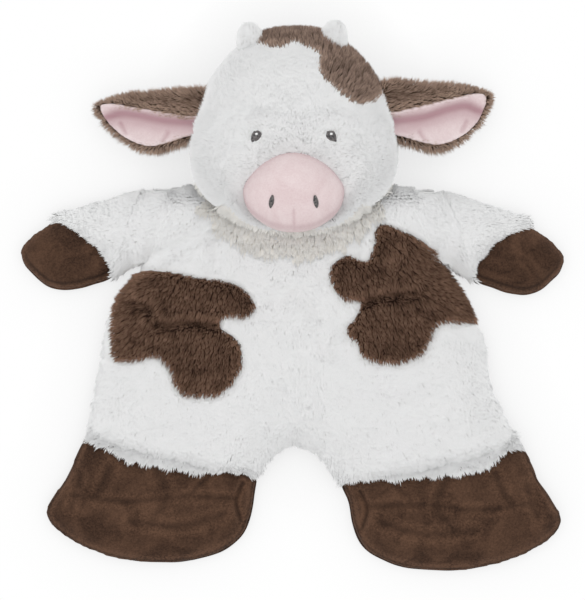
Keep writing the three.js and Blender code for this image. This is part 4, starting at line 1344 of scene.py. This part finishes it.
def makeSleeve(side, name):
    shoulder, armpit = torsoSpot(side, "shoulder"), torsoSpot(side, "armpit")
    inner = [(x - side * arms["tuck"], y + 1) for x, y in (shoulder, armpit)]
    edge = onArm(side, arms["sleeve"])
    runs = [
        smoothRun([inner[0], shoulder, *edge[:4]]), smoothRun(edge[3:9]),
        smoothRun([*edge[8:], armpit, inner[1]]), np.array(inner[::-1]),
    ]
    form = flatForm(runs, arms["spacing"])
    free = gapTo(form[0], runs[0], runs[2])
    crown = crowned(free, 30, 2.5) * crowned(gapTo(form[0], runs[1]) + 2, 16, 2)
    top = arms["seam"] + (arms["top"] - arms["seam"]) * crown
    bottom = np.maximum(floorGap, arms["seam"] * (1 - crowned(free, 12, 1.6)))
    skin = closedSkin("sleeve_skin_" + name, form, arms["seam"], top, bottom)
    stuffed(skin, *arms["stuffing"])
    finer(skin)
    rumpled(skin, *arms["sleeveRumple"], 8 + side)
    grounded(skin)
    at = placesOf(skin)
    upper = at[:, 2] > arms["seam"] - 0.5
    out = Vector((side * abs(armpit[1] - shoulder[1]), abs(armpit[0] - shoulder[0]))).normalized()
    beyond = (at[:, :2] - shoulder) @ out
    lap, merge = torso["sleeveLap"], arms["merge"]
    near = upper & (beyond < merge)
    spots = at[near, :2] - np.maximum(beyond[near] + lap - 1, 0)[:, None] * out
    under = onTop(torsoSkin, spots) + 0.6 - np.clip(-lap - beyond[near], 0, 9) * 0.5
    share = np.clip((beyond[near] + lap) / (merge + lap), 0, 1) ** 2
    share = share * (3 - 2 * share)
    at[near, 2] = under * (1 - share) + at[near, 2] * share
    moveTo(skin, at)
    turning = np.clip(1 - (beyond + lap) / 20, 0, 1)[:, None]
    comb = (side, -0.25, 0) + turning * (side * -0.6, -0.8, 0)
    pile = tufted(at, runs[1], *arms["cuffTuft"])
    skin.data.materials.append(finishes["whiteBacking"])
    bend = bendOver(armpit, shoulder, out, arms["bend"], arms["seam"])
    furs = (
        ("fur_sleeve_", whiteCoat, 61 + side, upper & (beyond > -lap - 1)),
        ("fur_sleeve_back_", backCoat, 64 + side, ~upper),
    )
    for title, coat, seed, cover in furs:
        growFur(title + name, skin, "arm_" + name, coat, seed, cover, comb, pile, bend=bend)
    nodes = "sleeve_front_" + name, "sleeve_back_" + name, "arm_filling_" + name
    joined(rounded(skin), "arm_" + name, "plush_white", *nodes, bend=bend, fill=arms["fill"])


def makeHoof(side, name):
    outline = loopOf(onArm(side, arms["hoof"]))
    puckers = [(onArm(side, line), deep, wide) for line, deep, wide in arms["puckers"]]
    for layer in arms["panels"]:
        title = "hoof_%s_%s" % (layer, name)
        hoof, at, rim = velourPanel(title, side, outline, arms, layer, puckers, 14 + side)
        # Painted shade in the seam's groove, only on the front panel's lower part, and painted sheen along
        # the rim
        lower = np.clip((arms["root"][1] - 24 - at[:, 1]) / 12, 0, 1) * (layer == "front")
        marked(hoof, "paintedShade", nearTo(at, rim, 1.1, arms["edge"]) * 0.6 * lower)
        marked(hoof, "edge", nearTo(at, rim, 3.2))
        fill = arms["fill"] if layer == "front" else None
        joined(rounded(hoof), "arm_" + name, "velour_brown", "hand_hoof_%s_%s" % (layer, name), fill=fill)


for side, name in sides:
    makeSleeve(side, name)
    makeHoof(side, name)
print("arms are made")


# Feet: broad flat velour hooves under the legs' hems

feet = {
    "root": (104.5, -138), "length": 92, "width": 88,
    "shape": [
        (0.9, 0.07), (0.99, -0.14), (1.12, -0.34), (1.22, -0.51), (1.2, -0.62), (1.09, -0.73),
        (0.9, -0.84), (0.66, -0.93), (0.36, -0.99), (0.08, -1), (-0.22, -0.97), (-0.47, -0.89),
        (-0.65, -0.76), (-0.74, -0.58), (-0.78, -0.36),
    ],
    "folds": [
        ([(-0.7, -0.26), (-0.63, -0.42), (-0.68, -0.62)], 3.4, 3), ([(-0.4, -0.16), (-0.2, -0.34)], 1.4, 4),
        ([(0.15, -0.12), (0.05, -0.4), (0.2, -0.6)], 1.2, 7), ([(0.6, -0.1), (0.75, -0.4)], 1.3, 6),
        ([(-0.5, -0.55), (-0.1, -0.66), (0.4, -0.62)], 1.3, 6), ([(0.9, -0.2), (1.0, -0.5)], 1.2, 5),
        ([(-0.6, -0.4), (-0.1, -0.38), (0.4, -0.43), (1.0, -0.37)], 1.3, 4.5),
    ],
    "hem": {  # how far the leg's pile reaches over the foot
        -1: [
            (-177, -124), (-157, -132), (-143, -139), (-128, -142), (-98, -147), (-84, -150),
            (-58, -148), (-34, -156),
        ],
        1: [
            (44, -162), (58, -150), (76, -151), (84, -156), (110, -154), (145, -151), (163, -148),
            (186, -133), (197, -131),
        ],
    },
    "hemTuft": (8, 0.45),
    "tuck": 9,  # how far the foot goes in under the hem, and how far it bends to each side of the ankle
    "panels": {  # the sole's edge shows beside the top
        "top": {"heights": (8.5, 23, 4), "shift": (0, 0), "stuffing": (1, 2.5, 0.05)},
        "sole": {"heights": (5, 7, floorGap), "shift": (-2.6, -2.2)},
    },
    "panelSpacing": 3, "panelReach": 30, "rumple": (0.8, 18),
    "rightWider": 4,
    "fill": 0.3,
}


def onFoot(side, shape):
    (x, y), splay, reach, wider = feet["root"], 0, 0, 0
    if side > 0:
        splay, reach, wider = torso["rightSplay"], torso["rightReach"], feet["rightWider"]
    return [
        (side * (x + 5 / 6 * splay + feet["width"] * u) + wider * max(u, 0), y - reach + feet["length"] * v)
        for u, v in shape
    ]


def makeFoot(side, name):
    outer, inner = torsoSpot(side, "ankle"), torsoSpot(side, "legInner")
    line = Vector((outer[0] - inner[0], outer[1] - inner[1])).normalized()
    up = Vector((-line.y, line.x)) if line.x > 0 else Vector((line.y, -line.x))
    tuck = feet["tuck"]
    tucked = [
        (x + up.x * tuck + line.x * inset, y + up.y * tuck + line.y * inset)
        for (x, y), inset in ((inner, 4), (outer, -4))
    ]
    rim = loopOf([*onFoot(side, feet["shape"]), *tucked])
    folds = [(onFoot(side, fold), deep, wide) for fold, deep, wide in feet["folds"]]
    bend = bendOver(outer, inner, -up, tuck, torso["seam"])
    for layer in feet["panels"]:
        title = "foot_%s_skin_%s" % (layer, name)
        skin, at, edge = velourPanel(title, side, rim, feet, layer, folds, 24 + side)
        # Painted shade right at the outline and a painted highlight in a band just inside it
        paintedShade, paintedHighlight = nearTo(at, edge, 0.8) * 0.6, nearTo(at, edge, 2.6, 2)
        nodes, fill = ["foot_sole_" + name], None
        if layer == "top":  # painted shade in each fold and a painted highlight beside it
            nodes, fill = ["foot_top_" + name, "foot_filling_" + name], feet["fill"]
            for fold, deep, wide in folds:
                fold = smoothRun(fold)
                paintedShade = np.maximum(paintedShade, nearTo(at, fold, 0.4 * wide) * min(0.6, deep * 0.22))
                paintedHighlight = np.maximum(paintedHighlight, nearTo(at, fold, 0.5 * wide, 1.1 * wide) * min(0.9, deep * 0.4))
            hem = smoothRun(feet["hem"][side])
            ankle = np.array([inner, outer][::-side]) + tuple(up * tuck)
            cover = within(at, np.concatenate([hem, ankle])) & (at[:, 2] > torso["seam"] - 0.5)
            body, comb, pile = "foot_" + name, (-up.x, -up.y, 0), tufted(at, hem, *feet["hemTuft"])
            growFur("fur_hem_" + name, skin, body, hemCoat, 71 + side, cover, comb, pile, bend=bend)
        marked(skin, "paintedShade", paintedShade)
        marked(skin, "edge", paintedHighlight)
        joined(rounded(skin), "foot_" + name, "velour_brown", *nodes, bend=bend, fill=fill)


for side, name in sides:
    makeFoot(side, name)
print("feet are made")

for spare in ("downy", "wavy"):
    bpy.data.objects.remove(furKit[spare])
